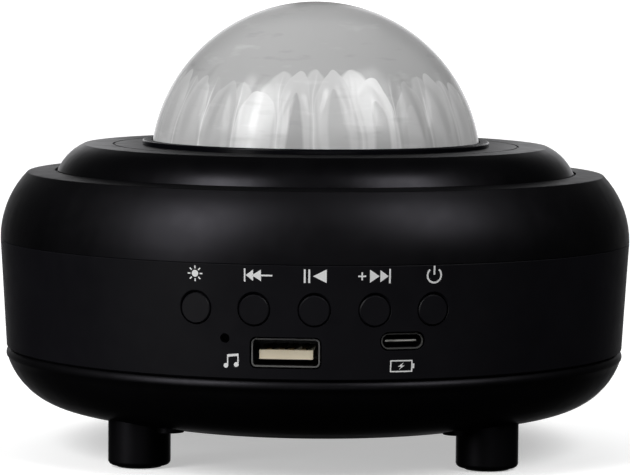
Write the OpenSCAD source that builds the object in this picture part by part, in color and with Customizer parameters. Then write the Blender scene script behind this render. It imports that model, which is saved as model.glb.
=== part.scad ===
// Star night light projector: a round speaker body on four feet, a fluted
// light dome on top, and a turning ripple disc between the lamp and the dome.
// Millimetres. Z is up, the origin is on the ground under the middle of the
// body, and the side with the buttons and ports faces -Y. Angles called "side
// angle" are measured round Z from the front (-Y), positive to the right (+X).

/* [Body] */
// Largest diameter, at the seam between band and upper housing
body_d = 140; // [134:1:150]
// Height of the middle band between the two seams
band_h = 24; // [23.5:0.5:30]
// How much smaller the band's radius is at its lower edge
band_draft = 1.4; // [0.6:0.1:1.8]
// Inside radius of the band, measured inward from its upper outside radius
band_depth = 3.6; // [3:0.1:4.2]
// Wall thickness of the housings
wall = 2.2; // [1.6:0.1:2.6]
// Clearance between parts that slip into each other
slip = 0.15; // [0.1:0.05:0.3]
// Bevel on the edges at the seams
seam_bevel = 0.3; // [0.1:0.05:0.6]
// Height of the locating ring that stands across each seam
spigot_h = 2; // [1:0.5:2.5]
// Thickness of the locating rings
spigot_t = 1.5; // [1:0.1:2]

/* [Lower housing] */
// Height of the tub from its floor to the lower seam
tub_h = 15.4; // [15:0.1:18]
// How far the tub's top edge stands out past the band
tub_proud = 0.3; // [0:0.1:0.8]
// Slope of the floor's outer part, in degrees
floor_slope = 10.5; // [8:0.5:13]
// Height that the sloped part climbs
floor_rise = 2.4; // [1.6:0.1:2.6]
// How far the side's curve is centred above the lower seam
side_centre_up = 2.7; // [1.5:0.1:4]
// Rounding of the tub's top edge
tub_lip = 1.2; // [0.6:0.1:1.6]

/* [Feet] */
// Diameter of a foot
foot_d = 13.4; // [12:0.1:15]
// Height of the floor above the ground
foot_h = 6.9; // [6:0.1:10]
// How far each foot's middle lies inside the body's largest radius
foot_in = 17.4; // [16:0.1:19]
// Rounding of a foot's lower edge
foot_edge = 1; // [0.4:0.1:1.6]
// Diameter of the rubber pad in a foot
pad_d = 9.6; // [8:0.1:10]
// Thickness of the pad
pad_t = 1.6; // [1.2:0.1:2]
// How far the pad stands out below the foot
pad_proud = 0.4; // [0.2:0.1:0.8]

/* [Upper housing] */
// Radius of the round shoulder
shoulder_r = 21; // [19:0.5:23]
// Height from the upper seam to the outer edge of the deck
shoulder_h = 14.65; // [13:0.05:15.5]
// How much the deck rises towards the tier
deck_rise = 0.35; // [0:0.05:0.8]
// Rounding of the deck's outer edge
deck_edge = 0.5; // [0.2:0.1:1]
// Width of the groove between deck and tier
groove_w = 0.6; // [0.3:0.1:1]
// Depth of that groove
groove_d = 0.5; // [0.3:0.1:0.9]
// How far the opening in the deck, under the top cover, lies outside the chassis hangers
deck_hole_gap = 2; // [1:0.1:2.5]

/* [Top cover] */
// Distance of the cover screws from the opening in the deck
cover_screw_in = 4.5; // [3.6:0.1:5]
// How far the tier's foot lies outside the cover screws
tier_w = 6.4; // [6:0.1:7]
// Height of the tier above the deck
tier_h = 5.8; // [5:0.1:6.4]
// Radius of the tier's rounded side
tier_round = 11.4; // [11:0.1:14]
// Steepness of the side where it starts, in degrees from upright
tier_lean = 23.8; // [20:0.1:26]
// Rounding of the tier's top edge
tier_edge = 0.6; // [0.2:0.1:1]
// Thickness of the top cover
cover_t = 2; // [1.5:0.1:2.4]
// How far the fine ring line in the tier's top lies outside the bezel
ring_line_out = 6.2; // [4:0.1:9]
// Width of the ring line
ring_line_w = 0.45; // [0.2:0.05:0.8]
// Depth of the ring line
ring_line_d = 0.3; // [0.1:0.05:0.5]

/* [Dome] */
// Outside radius of the dome
dome_r = 36.75; // [36:0.05:37]
// How far the dome's centre lies below the bezel's top
dome_sink = 5.9; // [5:0.1:7]
// Thickness of the dome's wall between two flutes
dome_t = 3; // [2.6:0.1:3.4]
// Number of upright flutes inside the dome
flutes = 24; // [16:1:32]
// Depth of a flute
flute_d = 0.7; // [0.4:0.1:1.6]
// Height of the flutes' pointed tops, in degrees above the dome's centre
flute_top = 36; // [28:1:44]
// Depth of the ring ripples inside the dome's crown
crown_ripple = 0.1; // [0.05:0.05:0.3]
// Width of the flange under the bezel
dome_flange_w = 1.6; // [1.2:0.1:2]
// Thickness of the flange
dome_flange_t = 1.4; // [1:0.1:1.8]
// Width of the glossy bezel
bezel_w = 2; // [1.7:0.1:2.4]
// How far the bezel stands above the tier
bezel_h = 1; // [0.6:0.1:1.6]
// Depth of the bezel in its seat
bezel_seat = 1; // [0.6:0.1:1.4]
// Rounding of the bezel's outer edge
bezel_edge = 0.3; // [0.1:0.05:0.5]

/* [Buttons] */
// Diameter of a button
button_d = 6.4; // [5.6:0.1:6.8]
// Gap all round a button in its hole
button_gap = 0.2; // [0.1:0.05:0.3]
// Bevel round the mouth of a button's hole
hole_bevel = 0.2; // [0.1:0.05:0.3]
// Angle between neighbouring buttons
button_step = 10.3; // [9.5:0.1:11]
// Height of the buttons above the lower seam
button_up = 14.5; // [14.2:0.1:16]
// How far a button travels
button_travel = 0.5; // [0.2:0.05:0.6]
// Diameter of the collar that keeps a button in
collar_d = 8.2; // [7.6:0.1:8.6]
// Thickness of that collar
collar_t = 0.9; // [0.6:0.1:1.2]
// Diameter of a button's stem
stem_d = 2.8; // [2:0.1:3.2]
// Diameter of a switch plunger
plunger_d = 3.4; // [3:0.1:4]
// How far a plunger stands out of its switch
plunger_out = 1.1; // [0.9:0.1:1.4]
// Width of a switch
switch_w = 6; // [5:0.1:7]
// Depth of a switch
switch_t = 3.4; // [3:0.1:4]

/* [Ports] */
// Side angle of the USB-A socket
usb_a_side = -4.9; // [-6:0.1:-3]
// Height of the USB-A socket's middle above the lower seam
usb_a_up = 5.7; // [5.6:0.1:6]
// Width of the USB-A shell
usb_a_w = 14.1; // [13:0.1:15]
// Height of the USB-A shell
usb_a_h = 5.9; // [5.5:0.1:6]
// Depth of the USB-A shell
usb_a_l = 14; // [12:0.5:16]
// Corner radius of the USB-A shell
usb_a_corner = 1; // [0.5:0.1:1.4]
// Sheet thickness of both socket shells
shell_t = 0.3; // [0.2:0.05:0.4]
// Width of the USB-A tongue
tongue_w = 11.1; // [10:0.1:12]
// Thickness of the USB-A tongue
tongue_t = 1.9; // [1.5:0.1:2.1]
// How far the tongue lies below the socket's middle
tongue_drop = 0.5; // [0:0.1:0.6]
// How far both tongues are set back from the mouth
tongue_back = 1.2; // [0.8:0.1:2]
// Side angle of the USB-C socket
usb_c_side = 15.3; // [14.8:0.1:18]
// Width of the USB-C shell
usb_c_w = 9; // [8.6:0.1:9.4]
// Height of the USB-C shell
usb_c_h = 3.3; // [3.1:0.05:3.6]
// Depth of the USB-C shell
usb_c_l = 10.5; // [9.5:0.5:12]
// Width of the USB-C tongue
tongue_c_w = 6.7; // [6:0.1:7]
// Thickness of the USB-C tongue
tongue_c_t = 0.7; // [0.6:0.05:0.8]
// Gap all round a socket in the band's cut-out
port_gap = 0.35; // [0.2:0.05:0.5]
// How far the sockets lie behind the band's outside
port_recess = 0.3; // [0.2:0.05:0.6]
// Side angle of the microphone hole
mic_side = -15.4; // [-15.8:0.1:-15]
// Height of the microphone hole above the lower seam
mic_up = 8.5; // [7.8:0.1:8.6]
// Diameter of the microphone hole
mic_hole_d = 2; // [1.2:0.1:2.4]
// Diameter of the microphone capsule
mic_d = 4.2; // [4:0.1:4.4]
// Length of the capsule
mic_l = 2.2; // [2:0.1:2.6]
// Thickness of the wall round the capsule
mic_wall = 1; // [0.8:0.1:1.1]

/* [Speaker] */
// Diameter of the speaker's flange
speaker_d = 52; // [50:0.5:53]
// Height of the seat that the speaker stands on
speaker_seat_h = 2.4; // [2:0.1:4]
// Thickness of the gasket
gasket_t = 0.8; // [0.5:0.1:1.2]
// Thickness of the flange
flange_t = 1.2; // [1:0.1:1.6]
// Height of the basket above the flange
basket_h = 8; // [7:0.5:9]
// How far the magnet lies inside the speaker's flange
magnet_in = 10; // [9:0.5:12]
// Height of the magnet
magnet_h = 7; // [6:0.5:7.5]
// Radius of the pole that the coil moves round
pole_r = 6.5; // [5.5:0.1:7]
// Gap between the coil and the metal on each side
coil_gap = 0.35; // [0.3:0.05:0.5]
// Thickness of the coil and its tube
coil_t = 0.5; // [0.4:0.1:0.8]
// Width of the speaker's flange outside the rubber roll
flange_w = 4.2; // [3.6:0.1:5]
// Thickness of the cone
cone_t = 0.6; // [0.5:0.1:0.8]
// How far the cone moves each way
cone_travel = 1; // [0.5:0.1:1.2]
// Width of the rubber roll round the cone
roll_w = 2.2; // [2:0.1:2.4]
// Thickness of the roll
roll_t = 0.4; // [0.3:0.05:0.5]
// How far the perforated grille lies inside the speaker's flange
grille_in = 3.3; // [3.2:0.1:4]
// Thickness of the grille
grille_t = 1.2; // [0.8:0.1:1.3]
// Diameter of a grille hole
grille_hole_d = 2.6; // [2:0.1:3]
// Distance between grille holes
grille_pitch = 4.3; // [4:0.1:4.4]
// Number of hole rings round the middle hole
grille_rings = 4; // [3:1:4]

/* [Main board] */
// Height of the board's underside above the lower seam
board_up = 9.8; // [9.5:0.05:10.2]
// Thickness of the circuit boards
board_t = 1.6; // [1:0.1:1.8]
// Distance of the board's front edge behind the band's inside
board_front_gap = 4.9; // [4.4:0.1:5.4]
// Half the width of the board
board_half_w = 36; // [34:0.5:38]
// Distance from the middle to the board's straight back edge
board_back = 28; // [27:0.5:29]
// Diameter of the posts that carry the board
post_d = 6; // [5:0.1:7]
// Side angle of the front posts
post_front_side = 36; // [34:0.5:37]
// How far the front posts lie inside the board's round edge
post_front_in = 9.6; // [9:0.1:10]
// Sideways place of the back posts
post_back_x = 20; // [19:0.1:22]
// How far the back posts lie in front of the board's back edge
post_back_in = 5; // [4:0.1:6]

/* [Light engine] */
// Height of the chassis plate's top above the upper seam
chassis_up = 7.7; // [7.2:0.1:8.2]
// Thickness of the chassis plate
chassis_t = 2; // [1.6:0.1:2.4]
// Distance between the retainer ring and the hangers
hanger_gap = 3.1; // [2.6:0.1:3.4]
// Width of the chassis plate outside the middle of its hangers
chassis_rim = 4; // [3.6:0.1:4.4]
// How far the collar that the ripple disc turns on lies inside the disc's pitch circle
hub_in_gear = 3; // [2.8:0.1:3.5]
// Thickness of the collar
hub_t = 1.8; // [1.4:0.1:2.2]
// Height of the collar
hub_h = 4; // [3.6:0.1:4.4]
// Radial clearance of turning fits
running = 0.05; // [0.03:0.01:0.1]
// Clearance above and below the turning disc
end_play = 0.2; // [0.1:0.05:0.4]
// Thickness of the ripple pane
pane_t = 1.6; // [1.2:0.1:1.8]
// Depth of the ripples in the pane
pane_ripple = 0.35; // [0.2:0.05:0.5]
// Number of teeth on the ripple disc
disc_teeth = 60; // [60:1:60]
// Number of teeth on the pinion
pinion_teeth = 12; // [12:1:12]
// Size of the teeth (pitch diameter for each tooth)
gear_module = 1; // [0.99:0.005:1.01]
// Pressure angle of the teeth
gear_pressure = 25; // [23:1:26]
// How much each tooth is thinned for backlash
gear_backlash = 0.08; // [0.06:0.01:0.14]
// Radius of the motor shaft
shaft_r = 1.5; // [1.2:0.1:1.8]
// Radius of the motor
motor_r = 10; // [9:0.1:10.5]
// Height of the motor
motor_h = 10; // [9:0.5:11]
// Thickness of the retainer ring over the disc
retainer_t = 1.2; // [1:0.1:1.4]
// How far the heat sink's plate lies inside its screws
sink_in = 7; // [6:0.1:8]
// Thickness of the heat sink's plate
sink_plate_t = 3; // [2.5:0.1:3.5]
// Length of the fins
fin_l = 7.2; // [6:0.1:7.4]
// Thickness of a fin
fin_t = 1.2; // [1:0.1:1.4]
// How far the fins' ends lie inside the plate's edge
fin_inset = 0.5; // [0.3:0.1:1]
// Distance between fins
fin_pitch = 3.8; // [3.6:0.1:4.4]
// Height of the spacers between chassis and heat sink
spacer_h = 7.6; // [7:0.1:8]
// Radius of the lamp's circuit board
lamp_board_r = 15; // [14:0.1:16]
// Radius of the lamp lens
lens_r = 10.6; // [10:0.1:11]
// Height of the lamp lens
lens_h = 6.2; // [5.5:0.1:7]
// Thickness of the reflector cup
cup_t = 1.2; // [1:0.1:1.4]

/* [Screws] */
// Diameter of the case and foot screws
screw_d = 3; // [2.6:0.1:3.2]
// Diameter of the small screws inside
small_screw_d = 2.6; // [2.2:0.1:2.8]
// Clearance of a screw in its hole
screw_gap = 0.05; // [0.03:0.01:0.1]
// How far the case screws lie inside the band
case_screw_in = 7.4; // [7:0.1:8.4]

/* [Hidden] */

$fn = 72;
past = 1;                       // how far a cutting shape runs past what it cuts
case_black = [0.05, 0.05, 0.055];

// Heights above the ground
z_floor = foot_h;
z_low = z_floor + tub_h;
z_up = z_low + band_h;
z_deck = z_up + shoulder_h;
z_tier0 = z_deck + deck_rise;
z_seat = z_tier0 - groove_d;
z_tier = z_tier0 + tier_h;
z_bezel = z_tier + bezel_h;
z_dome = z_bezel - dome_sink;
z_button = z_low + button_up;
z_usb_a = z_low + usb_a_up;
z_mic = z_low + mic_up;
z_board = z_low + board_up;
z_board_top = z_board + board_t;
z_usb_c = z_board - usb_c_h / 2;
z_flange = z_floor + wall + speaker_seat_h + gasket_t;
z_basket = z_flange + flange_t;
z_yoke = z_basket + basket_h;
z_chassis = z_up + chassis_up;
z_spacer = z_chassis - chassis_t - spacer_h;
z_lamp = z_spacer + board_t;
z_pane = z_chassis + hub_h + end_play;

// The band and the seams
top_r = body_d / 2;
band_in = top_r - band_depth;
foot_circle = top_r - foot_in;
case_screw_r = band_in - case_screw_in;
band_low_r = top_r - band_draft;
function band_r(z) = top_r - band_draft * (z_up - z) / band_h;
spigot_r = band_in - slip;

// The tub's side is an arc that runs into the sloped floor without a corner
tub_r = band_low_r + tub_proud;
side_z = z_low + side_centre_up;
side_r = (tub_h + side_centre_up - floor_rise) / cos(floor_slope);
side_c = tub_r - sqrt(side_r * side_r - side_centre_up * side_centre_up);

// Gears, and the ring that keeps the disc down
disc_pitch = gear_module * disc_teeth / 2;
pinion_pitch = gear_module * pinion_teeth / 2;
shaft_y = disc_pitch + pinion_pitch;
screw_head = 0.92;              // head radius over shank diameter
head_h = 0.68;                  // head height over shank diameter
retainer_sides = [40, -40, 140, -140];
retainer_leg = 2.2;
retainer_leg_r = disc_pitch + gear_module + 1.2;
retainer_r = retainer_leg_r + retainer_leg + small_screw_d * screw_head + 0.4;
retainer_foot_w = 6;
retainer_foot_t = 1.6;

// Chassis and its hangers, the opening that they pass through, and the tier round them
hub_r = disc_pitch - hub_in_gear;
hub_in = hub_r - hub_t;
hanger_sides = [0, 120, -120];
hanger_d = 7;
chassis_screw_l = 10;
hanger_r = retainer_leg_r + retainer_leg + hanger_gap + hanger_d / 2;
chassis_r = hanger_r + chassis_rim;
deck_hole_r = hanger_r + hanger_d / 2 + deck_hole_gap;
cover_sides = [60, -60, 120, -120, 0, 180];
cover_screw_r = deck_hole_r + cover_screw_in;
cover_screw_l = 5;
cover_boss_d = 6.4;
tier_r = cover_screw_r + tier_w;

// Round shoulder and tier
shoulder_c = top_r - shoulder_r;
tier_c = tier_r - tier_round * cos(tier_lean);
tier_z = z_tier0 - tier_round * sin(tier_lean);

// Dome seat
dome_flange_z = z_tier - bezel_seat - dome_flange_t;
dome_flange_r = dome_r + dome_flange_w;
bezel_in = sqrt(dome_r * dome_r - pow(z_tier - bezel_seat - z_dome, 2)) + running;
bezel_out = bezel_in + bezel_w;
ring_line_r = bezel_out + ring_line_out;
seat_in = dome_r - dome_t + dome_flange_w;
seat_wall = 2;
seat_t = 1.8;

// Feet and screws
foot_sides = [-45, 45, 135, -135];
case_sides = [-90, 90, 150, -150];
case_seat_z = z_floor + 8;
case_screw_l = 22;
case_post_d = 8;
case_boss_h = z_low + 1.7;
foot_screw_l = 12;
foot_seat_z = foot_h - 3.1;
foot_boss_d = 8.4;
foot_boss_h = 10;

// Speaker, from its flange inward
cone_r = speaker_d / 2 - flange_w - roll_w;
magnet_r = speaker_d / 2 - magnet_in;
grille_r = speaker_d / 2 - grille_in;

// Controls, in distance from the middle
button_sides = [-2 * button_step, -button_step, 0, button_step, 2 * button_step];
board_r = band_in - board_front_gap;
collar_front = sqrt(band_in * band_in - collar_d * collar_d / 4) - slip;
switch_front = board_r - 0.4;
plunger_tip = switch_front + plunger_out;
plunger_in = 1.1;
stem_step = 0.3;

// Lamp, heat sink and motor
spacer_sides = [0, 120, -120];
spacer_r = hub_r + 1;
spacer_d = 6.4;
sink_r = spacer_r - sink_in;
motor_ear_x = motor_r + 3;
motor_ear_t = 1.5;
shaft_depth = 4.7;              // how deep the pinion's shaft sits in the motor

// ---------------------------------------------------------------- helpers

// Puts children at a side angle, with their +Z pointing out, +X to the right, +Y up
module facing(side, z) {
    rotate([0, 0, side - 90]) translate([0, 0, z]) rotate([90, 0, 90]) children();
}

// Puts children on a side angle at a distance from the middle, still upright
module around(side, r) {
    rotate([0, 0, side - 90]) translate([r, 0, 0]) children();
}

// Half-plane pieces of a profile: a rectangle from two corners
module box2(r0, z0, r1, z1) {
    translate([r0, z0]) square([r1 - r0, z1 - z0]);
}

module ring(r_in, r_out, z0, z1) {
    translate([0, 0, z0]) difference() {
        cylinder(r = r_out, h = z1 - z0);
        translate([0, 0, -past]) cylinder(r = r_in, h = z1 - z0 + 2 * past);
    }
}

module rounded(w, h, r) {
    square([w - 2 * r, h], center = true);
    square([w, h - 2 * r], center = true);
    for (x = [-1, 1], y = [-1, 1]) translate([x * (w / 2 - r), y * (h / 2 - r)]) circle(r = r);
}

// A screw with its head's underside at z = 0 and its shank going up
module screw(d, l) {
    cylinder(d = d, h = l);
    difference() {
        translate([0, 0, -d * head_h]) cylinder(r = d * screw_head, h = d * head_h);
        for (a = [0, 90]) rotate([0, 0, a]) translate([-d / 2, -d * 0.1, -d * head_h - past])
            cube([d, d * 0.2, d * 0.35 + past]);
    }
}

module screw_hole(d, z0, z1) {
    translate([0, 0, z0]) cylinder(r = d / 2 + screw_gap, h = z1 - z0);
}

module head_hole(d, z0, z1) {
    translate([0, 0, z0]) cylinder(r = d * screw_head + 0.3, h = z1 - z0);
}

// Takes the corner off between an arc (centre c, zc, radius r) and the flat at z, as a round of radius f
function round_c(c, zc, r, z, f) = c + sqrt(pow(r - f, 2) - pow(z - f - zc, 2));
module arc_corner(c, zc, r, z, f) {
    rf = round_c(c, zc, r, z, f);
    ux = (rf - c) / (r - f);
    uz = (z - f - zc) / (r - f);
    difference() {
        polygon([[rf, z - f], [c + (r + 2) * ux, zc + (r + 2) * uz], [rf + 6, z + past], [rf, z + past]]);
        translate([rf, z - f]) circle(r = f);
    }
}

// ------------------------------------------------------------- lower shell

// Section of the tub, set in by a distance from its outside
module tub_section(inset) {
    r = side_r - inset;
    tr = side_c + r * sin(floor_slope);
    tz = side_z - r * cos(floor_slope);
    fz = z_floor + inset;
    fr = tr - (tz - fz) / tan(floor_slope);
    intersection() {
        union() {
            polygon([[0, fz], [fr, fz], [tr, tz], [side_c, side_z], [0, side_z]]);
            translate([side_c, side_z]) circle(r = r);
        }
        box2(0, fz, top_r, side_z);
    }
}

module tub_shell_section() {
    difference() {
        tub_section(0);
        tub_section(wall);
        box2(0, z_low, top_r + past, side_z + past);
        difference() {
            box2(tub_r - tub_lip, z_low - tub_lip, top_r + past, z_low + past);
            translate([tub_r - tub_lip, z_low - tub_lip]) circle(r = tub_lip);
        }
    }
    // locating ring that stands up inside the band
    intersection() {
        box2(spigot_r - spigot_t, z_low - tub_lip - wall, spigot_r, z_low + spigot_h);
        union() {
            tub_section(wall / 2);
            box2(0, z_low, top_r, z_low + spigot_h);
        }
    }
}

post_front_r = board_r - post_front_in;
board_posts = concat(
    [for (a = [-post_front_side, post_front_side]) [post_front_r * sin(a), -post_front_r * cos(a)]],
    [for (x = [-post_back_x, post_back_x]) [x, -board_back - post_back_in]]);
ear_sides = [45, 135, -45, -135];
ear_r = speaker_d / 2 + 2.6;
ear_d = 7;
speaker_screw_l = 4;

module lower_housing() {
    color(case_black) difference() {
        union() {
            rotate_extrude() tub_shell_section();
            intersection() {
                union() {
                    for (s = case_sides) around(s, case_screw_r) cylinder(d = case_post_d + 2, h = case_boss_h);
                    for (s = foot_sides) around(s, foot_circle)
                        cylinder(d = foot_boss_d, h = z_floor + foot_boss_h);
                }
                rotate_extrude() tub_section(0);
            }
            for (s = foot_sides) around(s, foot_circle) translate([0, 0, z_floor])
                cylinder(d = foot_d, h = floor_rise + 3);
            for (p = board_posts) translate([p.x, p.y, z_floor + wall / 2])
                cylinder(d = post_d, h = z_board - z_floor - wall / 2);
            ring(grille_r + 0.5, speaker_d / 2 + 0.4, z_floor + wall / 2, z_flange - gasket_t);
            for (s = ear_sides) around(s, ear_r) translate([0, 0, z_floor + wall / 2])
                cylinder(d = ear_d, h = z_flange - z_floor - wall / 2);
        }
        // the speaker's ears stand outside the seat ring
        translate([0, 0, z_flange - gasket_t]) cylinder(r = speaker_d / 2 + slip, h = gasket_t + past);
        translate([0, 0, z_floor - past]) cylinder(r = grille_r - 1.1, h = wall + 2 * past);
        translate([0, 0, z_floor + wall - 0.2 - grille_t]) cylinder(r = grille_r + slip / 2, h = wall + past);
        for (s = case_sides) around(s, case_screw_r) {
            head_hole(screw_d, 0, case_seat_z);
            screw_hole(screw_d + 0.3, case_seat_z - past, case_boss_h + past);
        }
        for (s = foot_sides) around(s, foot_circle) screw_hole(screw_d, 0, foot_seat_z + foot_screw_l + 0.8);
        for (p = board_posts) translate([p.x, p.y, 0])
            screw_hole(small_screw_d, z_board_top - board_screw_l - past, z_board + past);
        for (s = ear_sides) around(s, ear_r)
            screw_hole(small_screw_d, z_basket - speaker_screw_l - 0.5, z_flange + past);
    }
}

// ------------------------------------------------------------------- feet

module foot(side) {
    sole = pad_proud;
    color(case_black) around(side, foot_circle) difference() {
        rotate_extrude() {
            difference() {
                box2(0, sole, foot_d / 2, foot_h);
                difference() {
                    box2(foot_d / 2 - foot_edge, sole - past, foot_d / 2 + past, sole + foot_edge);
                    translate([foot_d / 2 - foot_edge, sole + foot_edge]) circle(r = foot_edge);
                }
            }
        }
        translate([0, 0, -past]) cylinder(r = pad_d / 2 + slip / 2, h = pad_t + past);
        head_hole(screw_d, 0, foot_seat_z);
        screw_hole(screw_d, 0, foot_h + past);
    }
}

module foot_front_left() { foot(foot_sides[0]); }
module foot_front_right() { foot(foot_sides[1]); }
module foot_back_right() { foot(foot_sides[2]); }
module foot_back_left() { foot(foot_sides[3]); }

module foot_pads() {
    color("dimgray") for (s = foot_sides) around(s, foot_circle) cylinder(d = pad_d, h = pad_t);
}

module foot_screws() {
    color("silver") for (s = foot_sides) around(s, foot_circle)
        translate([0, 0, foot_seat_z]) screw(screw_d, foot_screw_l);
}

module case_screws() {
    color("silver") for (s = case_sides) around(s, case_screw_r)
        translate([0, 0, case_seat_z]) screw(screw_d, case_screw_l);
}

// ------------------------------------------------------------ middle band

module usb_a_outline(grow) {
    rounded(usb_a_w + 2 * grow, usb_a_h + 2 * grow, usb_a_corner + grow);
}

module usb_c_outline(grow) {
    h = usb_c_h + 2 * grow;
    w = usb_c_w - usb_c_h;
    square([w, h], center = true);
    for (x = [-1, 1]) translate([x * w / 2, 0]) circle(d = h);
}

module mic_boss(d) {
    facing(mic_side, z_mic) translate([0, 0, band_in - mic_l]) cylinder(d = d, h = mic_l + wall);
}

module middle_band() {
    b = seam_bevel;
    color([0.09, 0.09, 0.1]) difference() {
        union() {
            rotate_extrude() polygon([[band_in, z_low], [band_low_r - b, z_low], [band_r(z_low + b), z_low + b],
                [band_r(z_up - b), z_up - b], [top_r - b, z_up], [band_in, z_up]]);
            intersection() {
                mic_boss(mic_d + 2 * slip + 2 * mic_wall);
                cylinder(r = band_in + wall / 2, h = z_up);
            }
        }
        for (s = button_sides) facing(s, z_button) {
            hole_r = button_d / 2 + button_gap;
            translate([0, 0, band_in / 2]) cylinder(r = hole_r, h = top_r);
            translate([0, 0, band_r(z_button) - hole_bevel])
                cylinder(r1 = hole_r, r2 = hole_r + top_r / 2, h = top_r / 2);
        }
        facing(usb_a_side, z_usb_a) translate([0, 0, band_in / 2])
            linear_extrude(top_r) usb_a_outline(port_gap);
        facing(usb_c_side, z_usb_c) translate([0, 0, band_in / 2])
            linear_extrude(top_r) usb_c_outline(port_gap);
        facing(mic_side, z_mic) {
            translate([0, 0, band_in / 2]) cylinder(d = mic_hole_d, h = top_r);
            translate([0, 0, band_in / 2]) cylinder(r = mic_d / 2 + slip, h = band_in / 2);
        }
    }
}

// ---------------------------------------------------------- upper housing

module shoulder_section(inset, top) {
    intersection() {
        union() {
            translate([shoulder_c, z_up]) circle(r = shoulder_r - inset);
            box2(0, z_up, shoulder_c, top);
        }
        box2(0, z_up, top_r + past, top);
    }
}

module upper_housing_section() {
    edge_r = round_c(shoulder_c, z_up, shoulder_r, z_deck, deck_edge);
    groove_r = tier_r + groove_w;
    difference() {
        union() {
            shoulder_section(0, z_deck);
            polygon([[deck_hole_r, z_deck - wall / 2], [edge_r, z_deck - wall / 2], [edge_r, z_deck],
                [groove_r, z_tier0], [deck_hole_r, z_tier0]]);
        }
        arc_corner(shoulder_c, z_up, shoulder_r, z_deck, deck_edge);
        shoulder_section(wall, z_seat - wall);
        box2(0, z_seat, groove_r, z_tier);
        box2(0, 0, deck_hole_r, z_tier);
    }
    // foot of the shell, with the locating ring that hangs inside the band
    intersection() {
        box2(spigot_r - spigot_t, z_up, top_r, z_up + spigot_t);
        shoulder_section(wall / 2, z_deck);
    }
    box2(spigot_r - spigot_t, z_up - spigot_h, spigot_r, z_up + spigot_t);
}

module upper_housing() {
    color(case_black) difference() {
        union() {
            rotate_extrude() upper_housing_section();
            intersection() {
                for (s = case_sides) around(s, case_screw_r) translate([0, 0, case_boss_h])
                    cylinder(d = case_post_d, h = z_seat - case_boss_h);
                union() {
                    cylinder(r = spigot_r - slip, h = z_up);
                    rotate_extrude() shoulder_section(wall / 2, z_seat - wall / 2);
                }
            }
        }
        for (s = case_sides) around(s, case_screw_r)
            screw_hole(screw_d, case_boss_h - past, case_seat_z + case_screw_l + 1);
        for (s = cover_sides) around(s, cover_screw_r)
            screw_hole(small_screw_d + 0.3, z_seat - wall - past, z_seat + past);
    }
}

// -------------------------------------------------------------- top cover

module tier_section(inset, z0, top) {
    intersection() {
        union() {
            translate([tier_c, tier_z]) circle(r = tier_round - inset);
            box2(0, z0, tier_c, top);
        }
        box2(0, z0, tier_r, top);
    }
}

module top_cover_section() {
    difference() {
        tier_section(0, z_seat, z_tier);
        arc_corner(tier_c, tier_z, tier_round, z_tier, tier_edge);
        difference() {
            tier_section(cover_t, z_seat - past, z_tier - cover_t);
            box2(0, dome_flange_z - seat_t, bezel_out + slip + seat_wall, z_tier);
        }
        box2(0, 0, seat_in, z_bezel);
        box2(0, dome_flange_z, bezel_out + slip / 2, z_bezel);
        box2(ring_line_r, z_tier - ring_line_d, ring_line_r + ring_line_w, z_bezel);
        box2(0, 0, bezel_out + slip + seat_wall, dome_flange_z - seat_t);
    }
}

module top_cover() {
    color(case_black) difference() {
        union() {
            rotate_extrude() top_cover_section();
            for (s = hanger_sides) around(s, hanger_r) translate([0, 0, z_chassis])
                cylinder(d = hanger_d, h = z_tier - cover_t / 2 - z_chassis);
            intersection() {
                for (s = cover_sides) around(s, cover_screw_r) translate([0, 0, z_seat])
                    cylinder(d = cover_boss_d, h = z_tier - cover_t / 2 - z_seat);
                rotate_extrude() tier_section(cover_t / 2, z_seat, z_tier);
            }
        }
        for (s = hanger_sides) around(s, hanger_r)
            screw_hole(small_screw_d, z_chassis - past, z_chassis - chassis_t + chassis_screw_l + 0.5);
        for (s = cover_sides) around(s, cover_screw_r)
            screw_hole(small_screw_d, z_seat - past, z_seat - wall + cover_screw_l + 0.4);
        translate([0, 0, z_chassis - past]) cylinder(r = seat_in, h = z_tier);
        translate([0, 0, dome_flange_z]) cylinder(r = bezel_out + slip / 2, h = z_tier);
    }
}

module cover_screws() {
    color("silver") for (s = cover_sides) around(s, cover_screw_r)
        translate([0, 0, z_seat - wall]) screw(small_screw_d, cover_screw_l);
}

module dome_bezel() {
    color([0.02, 0.02, 0.03]) rotate_extrude() difference() {
        box2(bezel_in, z_tier - bezel_seat, bezel_out, z_bezel);
        difference() {
            box2(bezel_out - bezel_edge, z_bezel - bezel_edge, bezel_out + past, z_bezel + past);
            translate([bezel_out - bezel_edge, z_bezel - bezel_edge]) circle(r = bezel_edge);
        }
    }
}

// ------------------------------------------------------------------- dome

// Half width of a flute, from 1 at its foot to 0 at its pointed top
function arch(el, top) = el >= top ? 0 : pow(1 - pow(el / top, 3), 0.65);
// Depth of the flute at a turn t (0 to 1 across one flute) and a height angle
function flute_at(t, w) = w <= 0 || abs(2 * t - 1) >= w ? 0
    : flute_d * min(1, 1.6 * w) * (1 - pow((2 * t - 1) / w, 2));
function crown_at(el) = crown_ripple * cos((90 - el) * 14) * max(0, (el - 45) / 45);
function inner_r(az, el, k) = dome_r - dome_t + crown_at(el)
    + flute_at(az - floor(az), arch(el, flute_top + (floor(az) % 2 == 0 ? k : -k)));

dome_slices = 4;                // steps across one flute
dome_rings = 16;                // steps up the dome
flute_stagger = 3;              // every second flute ends this much higher, in degrees

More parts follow.
